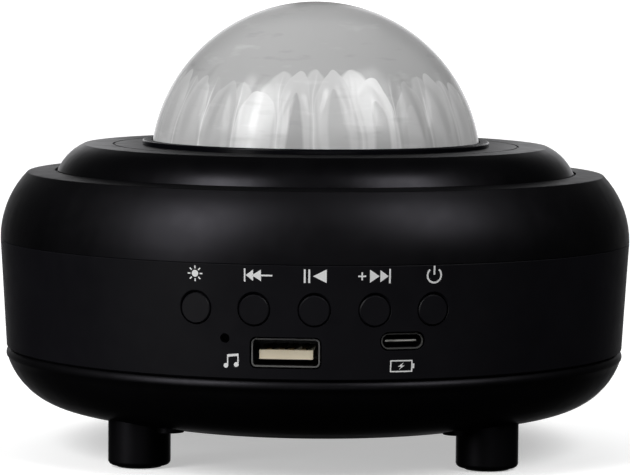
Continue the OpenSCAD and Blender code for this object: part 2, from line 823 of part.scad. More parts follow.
module dome_hollow() {
    n = flutes * dome_slices;
    top_el = 86;
    pts = [for (i = [0:dome_rings]) for (j = [0:n - 1])
        let (el = top_el * i / dome_rings, r = inner_r(j / dome_slices, el, flute_stagger), a = 360 * j / n - 90)
        [r * cos(el) * cos(a), r * cos(el) * sin(a), r * sin(el)]];
    crown = len(pts);
    side = [for (i = [0:dome_rings - 1]) for (j = [0:n - 1])
        let (a = i * n + j, b = i * n + (j + 1) % n) each [[a, a + n, b], [b, a + n, b + n]]];
    cap = [for (j = [0:n - 1]) [dome_rings * n + j, crown, dome_rings * n + (j + 1) % n]];
    polyhedron(concat(pts, [[0, 0, dome_r - dome_t]]),
        concat([[for (j = [0:n - 1]) j]], side, cap), convexity = 6);
}

module dome() {
    $fn = 240;
    color([0.85, 0.86, 0.87, 0.7]) difference() {
        rotate_extrude() intersection() {
            union() {
                translate([0, z_dome]) circle(r = dome_r);
                box2(0, dome_flange_z, dome_flange_r, dome_flange_z + dome_flange_t);
            }
            box2(0, dome_flange_z, dome_flange_r, z_dome + dome_r + past);
        }
        translate([0, 0, z_dome]) dome_hollow();
    }
}

// ---------------------------------------------------------------- buttons

module button(i) {
    front = band_r(z_button);
    b = 0.25;
    color(case_black) facing(button_sides[i], z_button) rotate_extrude()
        polygon([[0, plunger_tip], [stem_d / 2, plunger_tip], [stem_d / 2, collar_front - collar_t],
            [collar_d / 2, collar_front - collar_t], [collar_d / 2, collar_front],
            [button_d / 2, collar_front], [button_d / 2, front - b], [button_d / 2 - b, front], [0, front]]);
}

module plunger(i) {
    color("white") facing(button_sides[i], z_button)
        translate([0, 0, switch_front - plunger_in]) cylinder(d = plunger_d, h = plunger_in + plunger_out);
}

module button_light() { button(0); }
module button_previous() { button(1); }
module button_play() { button(2); }
module button_next() { button(3); }
module button_power() { button(4); }
module plunger_light() { plunger(0); }
module plunger_previous() { plunger(1); }
module plunger_play() { plunger(2); }
module plunger_next() { plunger(3); }
module plunger_power() { plunger(4); }

module switch_bodies() {
    h = 2 * (z_button - z_board_top);
    color("dimgray") for (s = button_sides) facing(s, z_button) difference() {
        translate([-switch_w / 2, -h / 2, switch_front - switch_t]) cube([switch_w, h, switch_t]);
        translate([0, 0, switch_front - plunger_in - button_travel - 0.3])
            cylinder(r = plunger_d / 2 + running, h = switch_t);
    }
}

// ------------------------------------------------------------- main board

module main_board() {
    color("darkgreen") difference() {
        translate([0, 0, z_board]) linear_extrude(board_t) intersection() {
            circle(r = board_r);
            translate([-board_half_w, -board_r]) square([2 * board_half_w, board_r - board_back]);
        }
        for (p = board_posts) translate([p.x, p.y, 0])
            screw_hole(small_screw_d, z_board - past, z_board_top + past);
    }
}

board_screw_l = 7;

module board_screws() {
    color("silver") for (p = board_posts) translate([p.x, p.y, z_board_top])
        mirror([0, 0, 1]) screw(small_screw_d, board_screw_l);
}

// Each chip: its left edge, how far its front lies behind the board's round edge, its width and its height
front_chips = [[-11, 12.5, 9, 1.4], [4, 14.5, 7, 1.2]];
// Each part at the back: its left edge, how far its front lies before the board's back edge, its width,
// its depth and its height
back_parts = [[-6, 4.5, 10, 4, 1.6], [12, 6, 4.5, 4.5, 3]];
can_x = 19;
can_in = 15.5;                  // how far the capacitor cans lie behind the board's round edge
can_d = 6.3;
can_h = 5.4;

module board_parts() {
    color([0.1, 0.1, 0.1]) translate([0, 0, z_board_top]) {
        for (c = front_chips) translate([c[0], c[1] - board_r, 0]) cube([c[2], c[2], c[3]]);
        for (b = back_parts) translate([b[0], -board_back - b[1], 0]) cube([b[2], b[3], b[4]]);
    }
    color("slategray") for (x = [-can_x, can_x]) translate([x, can_in - board_r, z_board_top])
        cylinder(d = can_d, h = can_h);
}

// ------------------------------------------------------------------ ports

function mouth(w) = sqrt(pow(band_r(z_usb_a), 2) - w * w / 4) - port_recess;
usb_a_mouth = mouth(usb_a_w);
usb_c_mouth = mouth(usb_c_w);

shell_leg_w = 1.2;

module usb_a_shell() {
    leg = z_board - z_usb_a - usb_a_h / 2;
    leg_x = usb_a_w / 2 - usb_a_corner - shell_leg_w;
    color("silver") facing(usb_a_side, z_usb_a) translate([0, 0, usb_a_mouth - usb_a_l]) {
        difference() {
            linear_extrude(usb_a_l) usb_a_outline(0);
            translate([0, 0, 2 * shell_t]) linear_extrude(usb_a_l) usb_a_outline(-shell_t);
        }
        for (x = [-leg_x - shell_leg_w, leg_x]) translate([x, usb_a_h / 2, 0.8]) cube([shell_leg_w, leg, 5]);
    }
}

module usb_a_tongue() {
    color("wheat") facing(usb_a_side, z_usb_a)
        translate([-tongue_w / 2, -tongue_drop - tongue_t / 2, usb_a_mouth - usb_a_l + 2 * shell_t])
            cube([tongue_w, tongue_t, usb_a_l - 2 * shell_t - tongue_back]);
}

module usb_a_contacts() {
    color("gold") facing(usb_a_side, z_usb_a) for (x = [-3.5, -1, 1, 3.5])
        translate([x - 0.5, tongue_t / 2 - tongue_drop, usb_a_mouth - usb_a_l + 2 * shell_t])
            cube([1, 0.2, usb_a_l - 2 * shell_t - tongue_back - 1]);
}

module usb_c_shell() {
    color("silver") facing(usb_c_side, z_usb_c) translate([0, 0, usb_c_mouth - usb_c_l]) difference() {
        linear_extrude(usb_c_l) usb_c_outline(0);
        translate([0, 0, 2 * shell_t]) linear_extrude(usb_c_l) usb_c_outline(-shell_t);
    }
}

module usb_c_tongue() {
    color([0.12, 0.12, 0.12]) facing(usb_c_side, z_usb_c)
        translate([-tongue_c_w / 2, -tongue_c_t / 2, usb_c_mouth - usb_c_l + 2 * shell_t])
            cube([tongue_c_w, tongue_c_t, usb_c_l - 2 * shell_t - tongue_back]);
}

module microphone() {
    color("silver") facing(mic_side, z_mic) translate([0, 0, band_in - mic_l]) cylinder(d = mic_d, h = mic_l);
}

// ---------------------------------------------------------------- speaker

module speaker_grille() {
    color([0.06, 0.06, 0.06]) translate([0, 0, z_floor + wall - 0.2 - grille_t]) difference() {
        cylinder(r = grille_r, h = grille_t);
        for (k = [0:grille_rings]) for (i = [0:max(1, 6 * k) - 1]) rotate([0, 0, 60 * i / max(1, k)])
            translate([k * grille_pitch, 0, -past]) cylinder(d = grille_hole_d, h = grille_t + 2 * past);
    }
}

module speaker_gasket() {
    color("dimgray") ring(cone_r + roll_w + 1, speaker_d / 2, z_flange - gasket_t, z_flange);
}

basket_window_w = 14;

module speaker_basket() {
    back_r = magnet_r - 1;
    color("dimgray") difference() {
        union() {
            rotate_extrude() difference() {
                union() {
                    box2(cone_r + roll_w, z_flange, speaker_d / 2, z_basket);
                    polygon([[speaker_d / 2 - 2.4, z_basket], [speaker_d / 2 - 1.2, z_basket],
                        [back_r, z_yoke], [back_r - 2, z_yoke]]);
                    box2(pole_r + 2 * coil_gap + coil_t, z_yoke - 1.6, back_r, z_yoke);
                }
            }
            for (s = ear_sides) around(s, ear_r) translate([0, 0, z_flange]) cylinder(d = ear_d, h = flange_t);
        }
        translate([0, 0, z_flange - past]) cylinder(r = cone_r + roll_w, h = flange_t + past);
        for (s = [0, 90, 180, 270]) around(s, 0) translate([back_r - 3, -basket_window_w / 2, z_basket + 1.2])
            cube([speaker_d / 2, basket_window_w, basket_h - 3.6]);
        for (s = ear_sides) around(s, ear_r) screw_hole(small_screw_d, z_flange - past, z_basket + past);
    }
}

module speaker_screws() {
    color("silver") for (s = ear_sides) around(s, ear_r) translate([0, 0, z_basket])
        mirror([0, 0, 1]) screw(small_screw_d, speaker_screw_l);
}

module speaker_magnet() {
    coil_out = pole_r + 2 * coil_gap + coil_t;
    color("gray") rotate_extrude() difference() {
        union() {
            box2(0, z_yoke, magnet_r, z_yoke + magnet_h);
            box2(0, z_yoke - 2.2, pole_r, z_yoke);
        }
        box2(pole_r, z_yoke - past, coil_out, z_yoke + magnet_h - 2.4);
    }
}

cap_ball = 8.6;                 // radius of the dust cap's curve

module speaker_cone() {
    coil_r = pole_r + coil_gap;
    rim_z = z_basket + roll_t;
    neck_z = z_yoke - 4.4;
    color([0.16, 0.16, 0.17]) rotate_extrude() {
        polygon([[coil_r, neck_z], [cone_r - 1, rim_z], [cone_r, rim_z], [cone_r, rim_z + cone_t],
            [cone_r - 0.8, rim_z + cone_t], [coil_r, neck_z + cone_t * 1.4]]);
        box2(coil_r, neck_z - 0.5, coil_r + coil_t, z_yoke + 1.4);
        // dust cap
        intersection() {
            cap_z = neck_z + sqrt(cap_ball * cap_ball - coil_r * coil_r) - cone_t;
            difference() {
                translate([0, cap_z]) circle(r = cap_ball);
                translate([0, cap_z]) circle(r = cap_ball - cone_t);
            }
            box2(0, neck_z - coil_r, coil_r + coil_t / 2, neck_z);
        }
    }
}

module speaker_surround() {
    mid = cone_r + roll_w / 2;
    color([0.1, 0.1, 0.1]) rotate_extrude() {
        intersection() {
            difference() {
                translate([mid, z_basket]) circle(r = roll_w / 2);
                translate([mid, z_basket]) circle(r = roll_w / 2 - roll_t);
            }
            box2(0, z_basket - roll_w, mid + roll_w, z_basket + roll_t / 2);
        }
        box2(cone_r - 1, z_basket, cone_r + roll_t, z_basket + roll_t);
        box2(cone_r + roll_w - roll_t, z_basket, cone_r + roll_w + 1, z_basket + roll_t);
    }
}

// ----------------------------------------------------------- light engine

module light_chassis() {
    z0 = z_chassis - chassis_t;
    color([0.2, 0.2, 0.2]) difference() {
        union() {
            ring(hub_in, chassis_r, z0, z_chassis);
            ring(hub_in, hub_r, z0, z_chassis + hub_h);
            for (s = spacer_sides) around(s, spacer_r) translate([0, 0, z_spacer])
                cylinder(d = spacer_d, h = z_chassis - chassis_t / 2 - z_spacer);
        }
        translate([0, 0, z0 - past]) cylinder(r = hub_in, h = hub_h + chassis_t + 2 * past);
        for (s = spacer_sides) around(s, spacer_r) screw_hole(small_screw_d, z_spacer - past, z_spacer + 6);
        for (s = hanger_sides) around(s, hanger_r) screw_hole(small_screw_d, z0 - past, z_chassis + past);
        for (s = retainer_sides) around(s, retainer_r) screw_hole(small_screw_d, z0 - past, z_chassis + past);
        translate([0, shaft_y, z0 - past]) cylinder(r = shaft_r + 2.1 + running, h = chassis_t + 2 * past);
        for (x = [-1, 1]) translate([x * motor_ear_x, shaft_y, 0])
            screw_hole(small_screw_d, z0 - past, z_chassis + past);
    }
}

module chassis_screws() {
    color("silver") for (s = hanger_sides) around(s, hanger_r)
        translate([0, 0, z_chassis - chassis_t]) screw(small_screw_d, chassis_screw_l);
}

module heat_sink() {
    z0 = z_spacer - sink_plate_t;
    fin_end = sink_r - fin_inset;
    fins = floor((fin_end - fin_t / 2) / fin_pitch);
    color("darkgray") difference() {
        union() {
            translate([0, 0, z0]) cylinder(r = sink_r, h = sink_plate_t);
            for (s = spacer_sides) around(s, spacer_r) translate([0, 0, z0]) {
                cylinder(d = spacer_d + 1, h = sink_plate_t);
                translate([-spacer_r + sink_r - 2, -spacer_d / 2, 0])
                    cube([spacer_r - sink_r + 2, spacer_d, sink_plate_t]);
            }
            intersection() {
                translate([0, 0, z0 - fin_l]) cylinder(r = fin_end, h = fin_l + sink_plate_t / 2);
                for (i = [-fins:fins]) translate([i * fin_pitch - fin_t / 2, -sink_r, z0 - fin_l])
                    cube([fin_t, 2 * sink_r, fin_l + sink_plate_t / 2]);
            }
        }
        for (s = spacer_sides) around(s, spacer_r) screw_hole(small_screw_d, z0 - past, z_spacer + past);
    }
}

module sink_screws() {
    color("silver") for (s = spacer_sides) around(s, spacer_r)
        translate([0, 0, z_spacer - sink_plate_t]) screw(small_screw_d, sink_plate_t + 5);
}

module lamp_board() {
    color("white") translate([0, 0, z_spacer]) cylinder(r = lamp_board_r, h = board_t);
}

emitter_w = 3.4;
emitter_h = 1;
emitter_gap = 3;                // between two neighbouring emitters

module lamp_emitters() {
    for (i = [0:3]) color(["red", "lime", "blue", "white"][i]) rotate([0, 0, 90 * i])
        translate([emitter_gap / 2, emitter_gap / 2, z_lamp]) cube([emitter_w, emitter_w, emitter_h]);
}

module lamp_lens() {
    ball = (lens_h * lens_h + lens_r * lens_r) / (2 * lens_h);
    color([0.9, 0.95, 1, 0.5]) rotate_extrude() difference() {
        intersection() {
            translate([0, z_lamp + lens_h - ball]) circle(r = ball);
            box2(0, z_lamp, lens_r, z_lamp + lens_h + past);
        }
        box2(0, z_lamp - past, lens_r - 2, z_lamp + emitter_h + 0.6);
    }
}

module reflector_cup() {
    foot_r = lens_r + 0.4;
    rim_r = hub_in - cup_t - 0.2;
    rim_z = z_chassis + hub_h - 0.4;
    color("white") rotate_extrude() polygon([[foot_r, z_lamp], [foot_r + cup_t, z_lamp],
        [rim_r + cup_t, rim_z], [rim_r, rim_z]]);
}

// --------------------------------------------------- ripple disc and drive

// Involute gear outline: half the tooth's angle at radius r, then one tooth after the other
function inv(a) = tan(a) * 180 / PI - a;
function half_tooth(r, n) = let (rp = gear_module * n / 2, rb = rp * cos(gear_pressure))
    90 / n - gear_backlash / rp * 45 / PI + inv(gear_pressure) - inv(acos(min(1, rb / r)));
module gear_outline(n, steps) {
    rp = gear_module * n / 2;
    r_root = rp - 1.25 * gear_module;
    r_start = max(r_root, rp * cos(gear_pressure));
    r_tip = rp + gear_module;
    flank = [for (k = [0:steps]) r_start + (r_tip - r_start) * k / steps];
    foot = r_start > r_root ? [r_root] : [];
    polygon([for (i = [0:n - 1]) let (mid = 360 / n * i) each concat(
        [for (r = concat(foot, flank)) let (a = mid - half_tooth(max(r, r_start), n)) [r * cos(a), r * sin(a)]],
        [for (k = [steps:-1:0]) let (r = flank[k], a = mid + half_tooth(r, n)) [r * cos(a), r * sin(a)]],
        [for (r = foot) let (a = mid + half_tooth(r_start, n)) [r * cos(a), r * sin(a)]])]);
}

ripple_rings = 5;
ripple_pitch = 4.6;

module ripple_disc() {
    rim_r = disc_pitch - 1.25 * gear_module;
    color([0.85, 0.92, 1, 0.6]) difference() {
        union() {
            translate([0, 0, z_chassis + end_play]) linear_extrude(hub_h) gear_outline(disc_teeth, 3);
            translate([0, 0, z_pane]) cylinder(r = rim_r, h = pane_t);
        }
        translate([0, 0, z_chassis - past]) cylinder(r = hub_r + running, h = hub_h + end_play + past);
        // ring ripples on top of the pane
        translate([0, 0, z_pane + pane_t]) rotate_extrude() for (k = [1:ripple_rings])
            translate([k * ripple_pitch, 0]) circle(r = pane_ripple);
    }
}

module disc_retainer() {
    z0 = z_pane + pane_t + end_play;
    color([0.2, 0.2, 0.2]) difference() {
        union() {
            ring(hub_r, retainer_leg_r + retainer_leg, z0, z0 + retainer_t);
            for (s = retainer_sides) around(s, 0) {
                translate([retainer_leg_r, -retainer_foot_w / 2, z_chassis])
                    cube([retainer_leg, retainer_foot_w, z0 + retainer_t / 2 - z_chassis]);
                translate([retainer_leg_r, -retainer_foot_w / 2, z_chassis])
                    cube([retainer_r - retainer_leg_r + small_screw_d, retainer_foot_w, retainer_foot_t]);
            }
        }
        for (s = retainer_sides) around(s, retainer_r)
            screw_hole(small_screw_d, z_chassis - past, z_chassis + retainer_foot_t + past);
    }
}

module retainer_screws() {
    color("silver") for (s = retainer_sides) around(s, retainer_r)
        translate([0, 0, z_chassis + retainer_foot_t]) mirror([0, 0, 1])
            screw(small_screw_d, retainer_foot_t + chassis_t);
}

module drive_motor() {
    z0 = z_chassis - chassis_t;
    ear = small_screw_d + 4;
    color("silver") translate([0, shaft_y, 0]) difference() {
        union() {
            translate([0, 0, z0 - motor_h]) cylinder(r = motor_r, h = motor_h);
            translate([0, 0, z0]) cylinder(r = shaft_r + 2, h = chassis_t);
            translate([-motor_ear_x, -ear / 2, z0 - motor_ear_t]) cube([2 * motor_ear_x, ear, motor_ear_t]);
            for (x = [-1, 1]) translate([x * motor_ear_x, 0, z0 - motor_ear_t]) cylinder(d = ear, h = motor_ear_t);
        }
        translate([0, 0, z0 - shaft_depth - end_play])
            cylinder(r = shaft_r + running, h = shaft_depth + end_play + chassis_t + past);
        for (x = [-1, 1]) translate([x * motor_ear_x, 0, 0])
            screw_hole(small_screw_d, z0 - motor_ear_t - past, z0 + past);
    }
}

module motor_screws() {
    z0 = z_chassis - chassis_t;
    color("silver") for (x = [-1, 1]) translate([x * motor_ear_x, shaft_y, z0 - motor_ear_t])
        screw(small_screw_d, motor_ear_t + chassis_t);
}

module drive_pinion() {
    z0 = z_chassis + end_play;
    color("ivory") translate([0, shaft_y, 0]) {
        translate([0, 0, z0]) rotate([0, 0, 180 / pinion_teeth])
            linear_extrude(hub_h) gear_outline(pinion_teeth, 4);
        translate([0, 0, z_chassis - chassis_t - shaft_depth])
            cylinder(r = shaft_r, h = chassis_t + shaft_depth + end_play + hub_h + 0.5);
    }
}

// -------------------------------------------------------------- the model

lower_housing();
middle_band();
upper_housing();
top_cover();
dome_bezel();
dome();
foot_front_left();
foot_front_right();
foot_back_left();
foot_back_right();
foot_pads();
foot_screws();
case_screws();
cover_screws();
button_light();
button_previous();
button_play();
button_next();
button_power();
plunger_light();
plunger_previous();
plunger_play();
plunger_next();
plunger_power();
switch_bodies();
main_board();
board_screws();
board_parts();
usb_a_shell();
usb_a_tongue();
usb_a_contacts();
usb_c_shell();
usb_c_tongue();
microphone();
speaker_grille();
speaker_gasket();
speaker_basket();
speaker_magnet();
speaker_screws();
speaker_cone();
speaker_surround();
light_chassis();
chassis_screws();
heat_sink();
sink_screws();
lamp_board();
lamp_emitters();
lamp_lens();
reflector_cup();
ripple_disc();
disc_retainer();
retainer_screws();
drive_motor();
motor_screws();
drive_pinion();
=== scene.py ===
import math

import bmesh
import bpy
from mathutils import Matrix, Vector
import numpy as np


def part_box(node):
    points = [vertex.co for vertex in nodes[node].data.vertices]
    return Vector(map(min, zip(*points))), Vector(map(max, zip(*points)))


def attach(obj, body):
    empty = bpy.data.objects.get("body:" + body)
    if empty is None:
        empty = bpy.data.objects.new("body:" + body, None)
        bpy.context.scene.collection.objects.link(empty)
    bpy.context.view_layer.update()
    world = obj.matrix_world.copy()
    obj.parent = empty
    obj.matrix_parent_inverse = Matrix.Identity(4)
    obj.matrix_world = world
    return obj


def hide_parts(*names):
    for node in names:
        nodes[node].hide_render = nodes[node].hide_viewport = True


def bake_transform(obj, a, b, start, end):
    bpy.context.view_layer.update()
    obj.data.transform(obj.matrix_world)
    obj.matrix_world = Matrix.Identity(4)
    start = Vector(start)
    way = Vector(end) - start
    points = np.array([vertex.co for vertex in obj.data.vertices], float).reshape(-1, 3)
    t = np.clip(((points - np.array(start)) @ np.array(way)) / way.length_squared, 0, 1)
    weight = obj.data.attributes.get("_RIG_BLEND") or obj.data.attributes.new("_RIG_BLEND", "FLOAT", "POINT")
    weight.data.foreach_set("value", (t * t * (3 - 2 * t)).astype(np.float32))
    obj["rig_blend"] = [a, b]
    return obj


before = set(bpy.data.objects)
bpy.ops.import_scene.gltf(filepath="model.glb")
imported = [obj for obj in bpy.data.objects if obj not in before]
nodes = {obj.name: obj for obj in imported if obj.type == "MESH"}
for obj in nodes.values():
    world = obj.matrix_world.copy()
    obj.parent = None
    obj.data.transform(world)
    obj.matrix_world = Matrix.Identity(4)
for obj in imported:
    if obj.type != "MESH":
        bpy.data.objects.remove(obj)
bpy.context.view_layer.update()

MM = 0.001


# ------------------------------------------------------------------ sizes
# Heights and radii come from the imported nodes, so that they follow the CAD model. The wall, the
# flange, the draft and the side angles are the CAD model's own numbers.

def low(node):
    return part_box(node)[0]


def high(node):
    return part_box(node)[1]


SEAM_LOW = low("middle_band").z
SEAM_UP = high("middle_band").z
BAND_TOP_R = high("middle_band").x
BAND_DRAFT = 1.4 * MM                  # how much smaller the band is at its lower edge
USB_A_SIDE = -4.9                      # side angles of the two sockets, in degrees
USB_C_SIDE = 15.3

DOME_FLANGE_OUT = 1.6 * MM             # how far the flange stands out
DOME_FLANGE_T = 1.4 * MM
DOME_WALL = 3.0 * MM
DOME_TOP = high("dome").z
DOME_FOOT = low("dome").z
DOME_FLANGE_R = high("dome").x
DOME_FLANGE_TOP = DOME_FOOT + DOME_FLANGE_T
DOME_R = DOME_FLANGE_R - DOME_FLANGE_OUT
DOME_Z = DOME_TOP - DOME_R             # height of the dome's centre
FLUTES = 24

# Painted light and shade for how the flutes show through the dome: an arch for each flute, a
# narrow tongue up its middle, and behind them a second round of arches, half a flute further to
# the left. The tuples give one number for each: the first is for the flute just to the right of
# the front, and after twelve they start again. Tones are painted brightness, from 0, dark, to 1,
# light. A drop of 1 ends an arch TONE_DROP lower.
FLUTE_TONES = (0.72, 0.92, 0.54, 0.78, 1.00, 0.80, 0.60, 0.62, 0.54, 0.42, 0.78, 0.62)
TONGUE_TONES = (0.44, 0.36, 0.68, 0.76, 0.94, 0.80, 0.60, 0.56, 0.52, 0.40, 0.82, 0.18)
FLUTE_DROPS = (0.05, 0.45, 0.60, 0.35, 0.60, 0.35, 0.60, 0.35, 0.45, 0.55, 0.90, 0.20)
BACK_DROPS = (0.10, 0.00, 0.95, 0.50, 0.60, 0.40, 0.60, 0.50, 0.55, 0.50, 0.65, 0.15)
BACK_TONES = (0.58, 0.88, 0.30, 0.56, 0.74, 0.60, 0.50, 0.46, 0.40, 0.26, 0.44, 0.56)
TONE_TOP = 39                          # height of the highest arch, in degrees
TONE_DROP = 10
TONGUE_LOWER = 8                       # the tongues end this much lower than their flutes
TONGUE_HALF = 0.44                     # half width of a tongue, in half flutes
CROWN_TONE = 0.20
CROWN_TONE_RIGHT = 0.50                # the crown's tone far to the right, painted lighter there
LINE_WIDTH = 0.07                      # of the painted highlight lines between flutes, in half flutes
EDGE_HIGHLIGHT = 0.35                       # how bright an arch's own painted highlight line is beside those
SHADE_LINE_TONE = 0.22                     # how dark the thin painted shade lines beside the highlight lines are
ARCH_POWER = 4                         # higher: an arch keeps its width further up
ARCH_POINT = 0.6                       # higher: an arch ends in a sharper point


def band_radius(z):
    return BAND_TOP_R - BAND_DRAFT * (SEAM_UP - z) / (SEAM_UP - SEAM_LOW)


# -------------------------------------------------------------- materials

ACRYLIC_IOR = 1.49


def new_material(name):
    """A node material with only its Principled shader and output."""
    mat = bpy.data.materials.new(name)
    mat.use_nodes = True
    tree = mat.node_tree
    tree.nodes.clear()
    out = tree.nodes.new("ShaderNodeOutputMaterial")
    shader = tree.nodes.new("ShaderNodeBsdfPrincipled")
    tree.links.new(shader.outputs["BSDF"], out.inputs["Surface"])
    return mat, tree, shader


def noise(tree, scale, detail=3.0, rough=0.5, stretch=None):
    """A noise in the object's own metres; scale is in cells for each metre."""
    coord = tree.nodes.new("ShaderNodeTexCoord")
    source = coord.outputs["Object"]
    if stretch:
        mapping = tree.nodes.new("ShaderNodeMapping")
        mapping.inputs["Scale"].default_value = stretch
        tree.links.new(source, mapping.inputs["Vector"])
        source = mapping.outputs["Vector"]
    node = tree.nodes.new("ShaderNodeTexNoise")
    node.inputs["Scale"].default_value = scale
    node.inputs["Detail"].default_value = detail
    node.inputs["Roughness"].default_value = rough
    tree.links.new(source, node.inputs["Vector"])
    return node.outputs["Fac"]


def math_node(tree, kind, *values, clamp=False):
    """One step of arithmetic on numbers and sockets."""
    node = tree.nodes.new("ShaderNodeMath")
    node.operation = kind
    node.use_clamp = clamp
    for socket, value in zip(node.inputs, values):
        if isinstance(value, (int, float)):
            socket.default_value = value
        else:
            tree.links.new(value, socket)
    return node.outputs[0]


def spread(tree, value, low_value, high_value, from_low=0.3, from_high=0.7):
    """Maps a number from one range to another; the usual one is that of a noise."""
    node = tree.nodes.new("ShaderNodeMapRange")
    node.inputs["From Min"].default_value = from_low
    node.inputs["From Max"].default_value = from_high
    node.inputs["To Min"].default_value = low_value
    node.inputs["To Max"].default_value = high_value
    tree.links.new(value, node.inputs["Value"])
    return node.outputs["Result"]


def two_tone(tree, value, dark, light):
    """A mix of two colours, driven by a noise or another number from 0.3 to 0.7."""
    ramp = tree.nodes.new("ShaderNodeValToRGB")
    ramp.color_ramp.elements[0].position = 0.3
    ramp.color_ramp.elements[1].position = 0.7
    ramp.color_ramp.elements[0].color = (*dark, 1)
    ramp.color_ramp.elements[1].color = (*light, 1)
    tree.links.new(value, ramp.inputs["Fac"])
    return ramp.outputs["Color"]


def bumps(tree, shader, layers):
    """Stacks bump layers: (height, strength, distance in metres)."""
    last = None
    for height, strength, distance in layers:
        bump = tree.nodes.new("ShaderNodeBump")
        bump.inputs["Strength"].default_value = strength
        bump.inputs["Distance"].default_value = distance
        tree.links.new(height, bump.inputs["Height"])
        if last:
            tree.links.new(last, bump.inputs["Normal"])
        last = bump.outputs["Normal"]
    tree.links.new(last, shader.inputs["Normal"])


def moulded(name, dark, light, rough, grain=5200, grain_depth=0.006, specular=0.5, tint=(1, 1, 1)):
    """Moulded plastic with fine spark-eroded grain (cells for each metre, and depth in
    millimetres), slow waviness, and slightly uneven colour and gloss."""
    mat, tree, shader = new_material(name)
    gloss = spread(tree, noise(tree, 220, 5, 0.6), rough - 0.03, rough + 0.04)
    tree.links.new(two_tone(tree, noise(tree, 60, 4), dark, light), shader.inputs["Base Color"])
    tree.links.new(gloss, shader.inputs["Roughness"])
    shader.inputs["Specular IOR Level"].default_value = specular
    shader.inputs["Specular Tint"].default_value = (*tint, 1)
    bumps(tree, shader, [(noise(tree, 45, 2), 0.05, 0.4 * MM),
                         (noise(tree, grain, 2, 0.6), 0.35, grain_depth * MM)])
    return mat


def metal(name, dark, light, rough, brushed=None):
    """Plated or bare metal, with fine lines along one direction where it is brushed."""
    mat, tree, shader = new_material(name)
    gloss = spread(tree, noise(tree, 700, 4, 0.6, brushed), rough - 0.06, rough + 0.08)
    tree.links.new(two_tone(tree, noise(tree, 180, 4), dark, light), shader.inputs["Base Color"])
    tree.links.new(gloss, shader.inputs["Roughness"])
    shader.inputs["Metallic"].default_value = 1.0
    bumps(tree, shader, [(noise(tree, 2500, 2, 0.5, brushed), 0.15, 0.004 * MM)])
    return mat


def facing(side):
    """The direction in which something on the band at a side angle looks."""
    return math.sin(math.radians(side)), -math.cos(math.radians(side)), 0.0


def front_tone(tree, node, side, depth):
    """Rises from 0 to 1 over a depth, up to the front of a node that looks out at a side angle."""
    way = Vector(facing(side))
    piece = nodes[node]
    front = max((piece.matrix_world @ v.co).dot(way) for v in piece.data.vertices)
    coord = tree.nodes.new("ShaderNodeTexCoord")
    dot = tree.nodes.new("ShaderNodeVectorMath")
    dot.operation = "DOT_PRODUCT"
    dot.inputs[1].default_value = way
    tree.links.new(coord.outputs["Object"], dot.inputs[0])
    return spread(tree, dot.outputs["Value"], 0.0, 1.0, front - depth, front - 0.2 * depth)


def sheet_painted_dark_inside(name, node, side, inside, mouth):
    """Plated sheet whose cut front edge is light; back from it, along an uneven border, its
    inside is darkened with painted shade.
    """
    mat, tree, shader = new_material(name)
    uneven_edge = spread(tree, noise(tree, 900, 3), -0.2, 0.2)
    # 1 at the front edge, falling to 0 deeper in, where the painted shade takes over
    near = math_node(tree, "ADD", front_tone(tree, node, side, 0.4 * MM), uneven_edge)
    gloss = spread(tree, noise(tree, 700, 4, 0.6), 0.28, 0.44)
    tree.links.new(two_tone(tree, near, inside, mouth), shader.inputs["Base Color"])
    tree.links.new(gloss, shader.inputs["Roughness"])
    shader.inputs["Metallic"].default_value = 0.45
    return mat


def tongue_with_plate_highlight(name):
    """The black tongue of a USB-C socket; the real edge of its middle plate at the front is
    painted near white as a highlight.
    """
    mat, tree, shader = new_material(name)
    split = tree.nodes.new("ShaderNodeSeparateXYZ")
    tree.links.new(tree.nodes.new("ShaderNodeTexCoord").outputs["Object"], split.inputs["Vector"])
    middle = (low("usb_c_tongue").z + high("usb_c_tongue").z) / 2
    off = math_node(tree, "ABSOLUTE", math_node(tree, "SUBTRACT", split.outputs["Z"], middle))
    # a thin band at the front and at mid-height: the plate's edge, painted light as a highlight
    plate = math_node(tree, "MULTIPLY", front_tone(tree, "usb_c_tongue", USB_C_SIDE, 0.1 * MM),
                      spread(tree, off, 1.0, 0.0, 0.12 * MM, 0.2 * MM))
    tree.links.new(two_tone(tree, plate, (0.004, 0.004, 0.004), (0.80, 0.80, 0.74)),
                   shader.inputs["Base Color"])
    tree.links.new(spread(tree, noise(tree, 300, 4), 0.36, 0.46), shader.inputs["Roughness"])
    bumps(tree, shader, [(noise(tree, 5200, 2, 0.6), 0.35, 0.006 * MM)])
    return mat


def clear_plastic(name, tint, rough, ripple=0.0):
    """Clear moulded plastic with slight haze that varies; ripple is a depth in millimetres."""
    mat, tree, shader = new_material(name)
    tone = two_tone(tree, noise(tree, 90, 3), [c * 0.97 for c in tint], tint)
    haze = spread(tree, noise(tree, 300, 4), rough * 0.8, rough * 1.2)
    tree.links.new(tone, shader.inputs["Base Color"])
    tree.links.new(haze, shader.inputs["Roughness"])
    shader.inputs["Transmission Weight"].default_value = 1.0
    shader.inputs["IOR"].default_value = ACRYLIC_IOR
    if ripple:
        bumps(tree, shader, [(noise(tree, 120, 2), 0.2, ripple * MM)])
    return mat


def picked(tree, place, levels):
    """One of several levels, by a place counted in whole steps."""
    ramp = tree.nodes.new("ShaderNodeValToRGB")
    stops = ramp.color_ramp
    stops.interpolation = "CONSTANT"
    while len(stops.elements) < len(levels):
        stops.elements.new(0.5)
    for i, level in enumerate(levels):
        stops.elements[i].position = i / len(levels)
        stops.elements[i].color = (level, level, level, 1)
    middle = math_node(tree, "ADD", place, 0.5)
    tree.links.new(math_node(tree, "DIVIDE", middle, len(levels)), ramp.inputs["Fac"])
    return ramp.outputs["Color"]


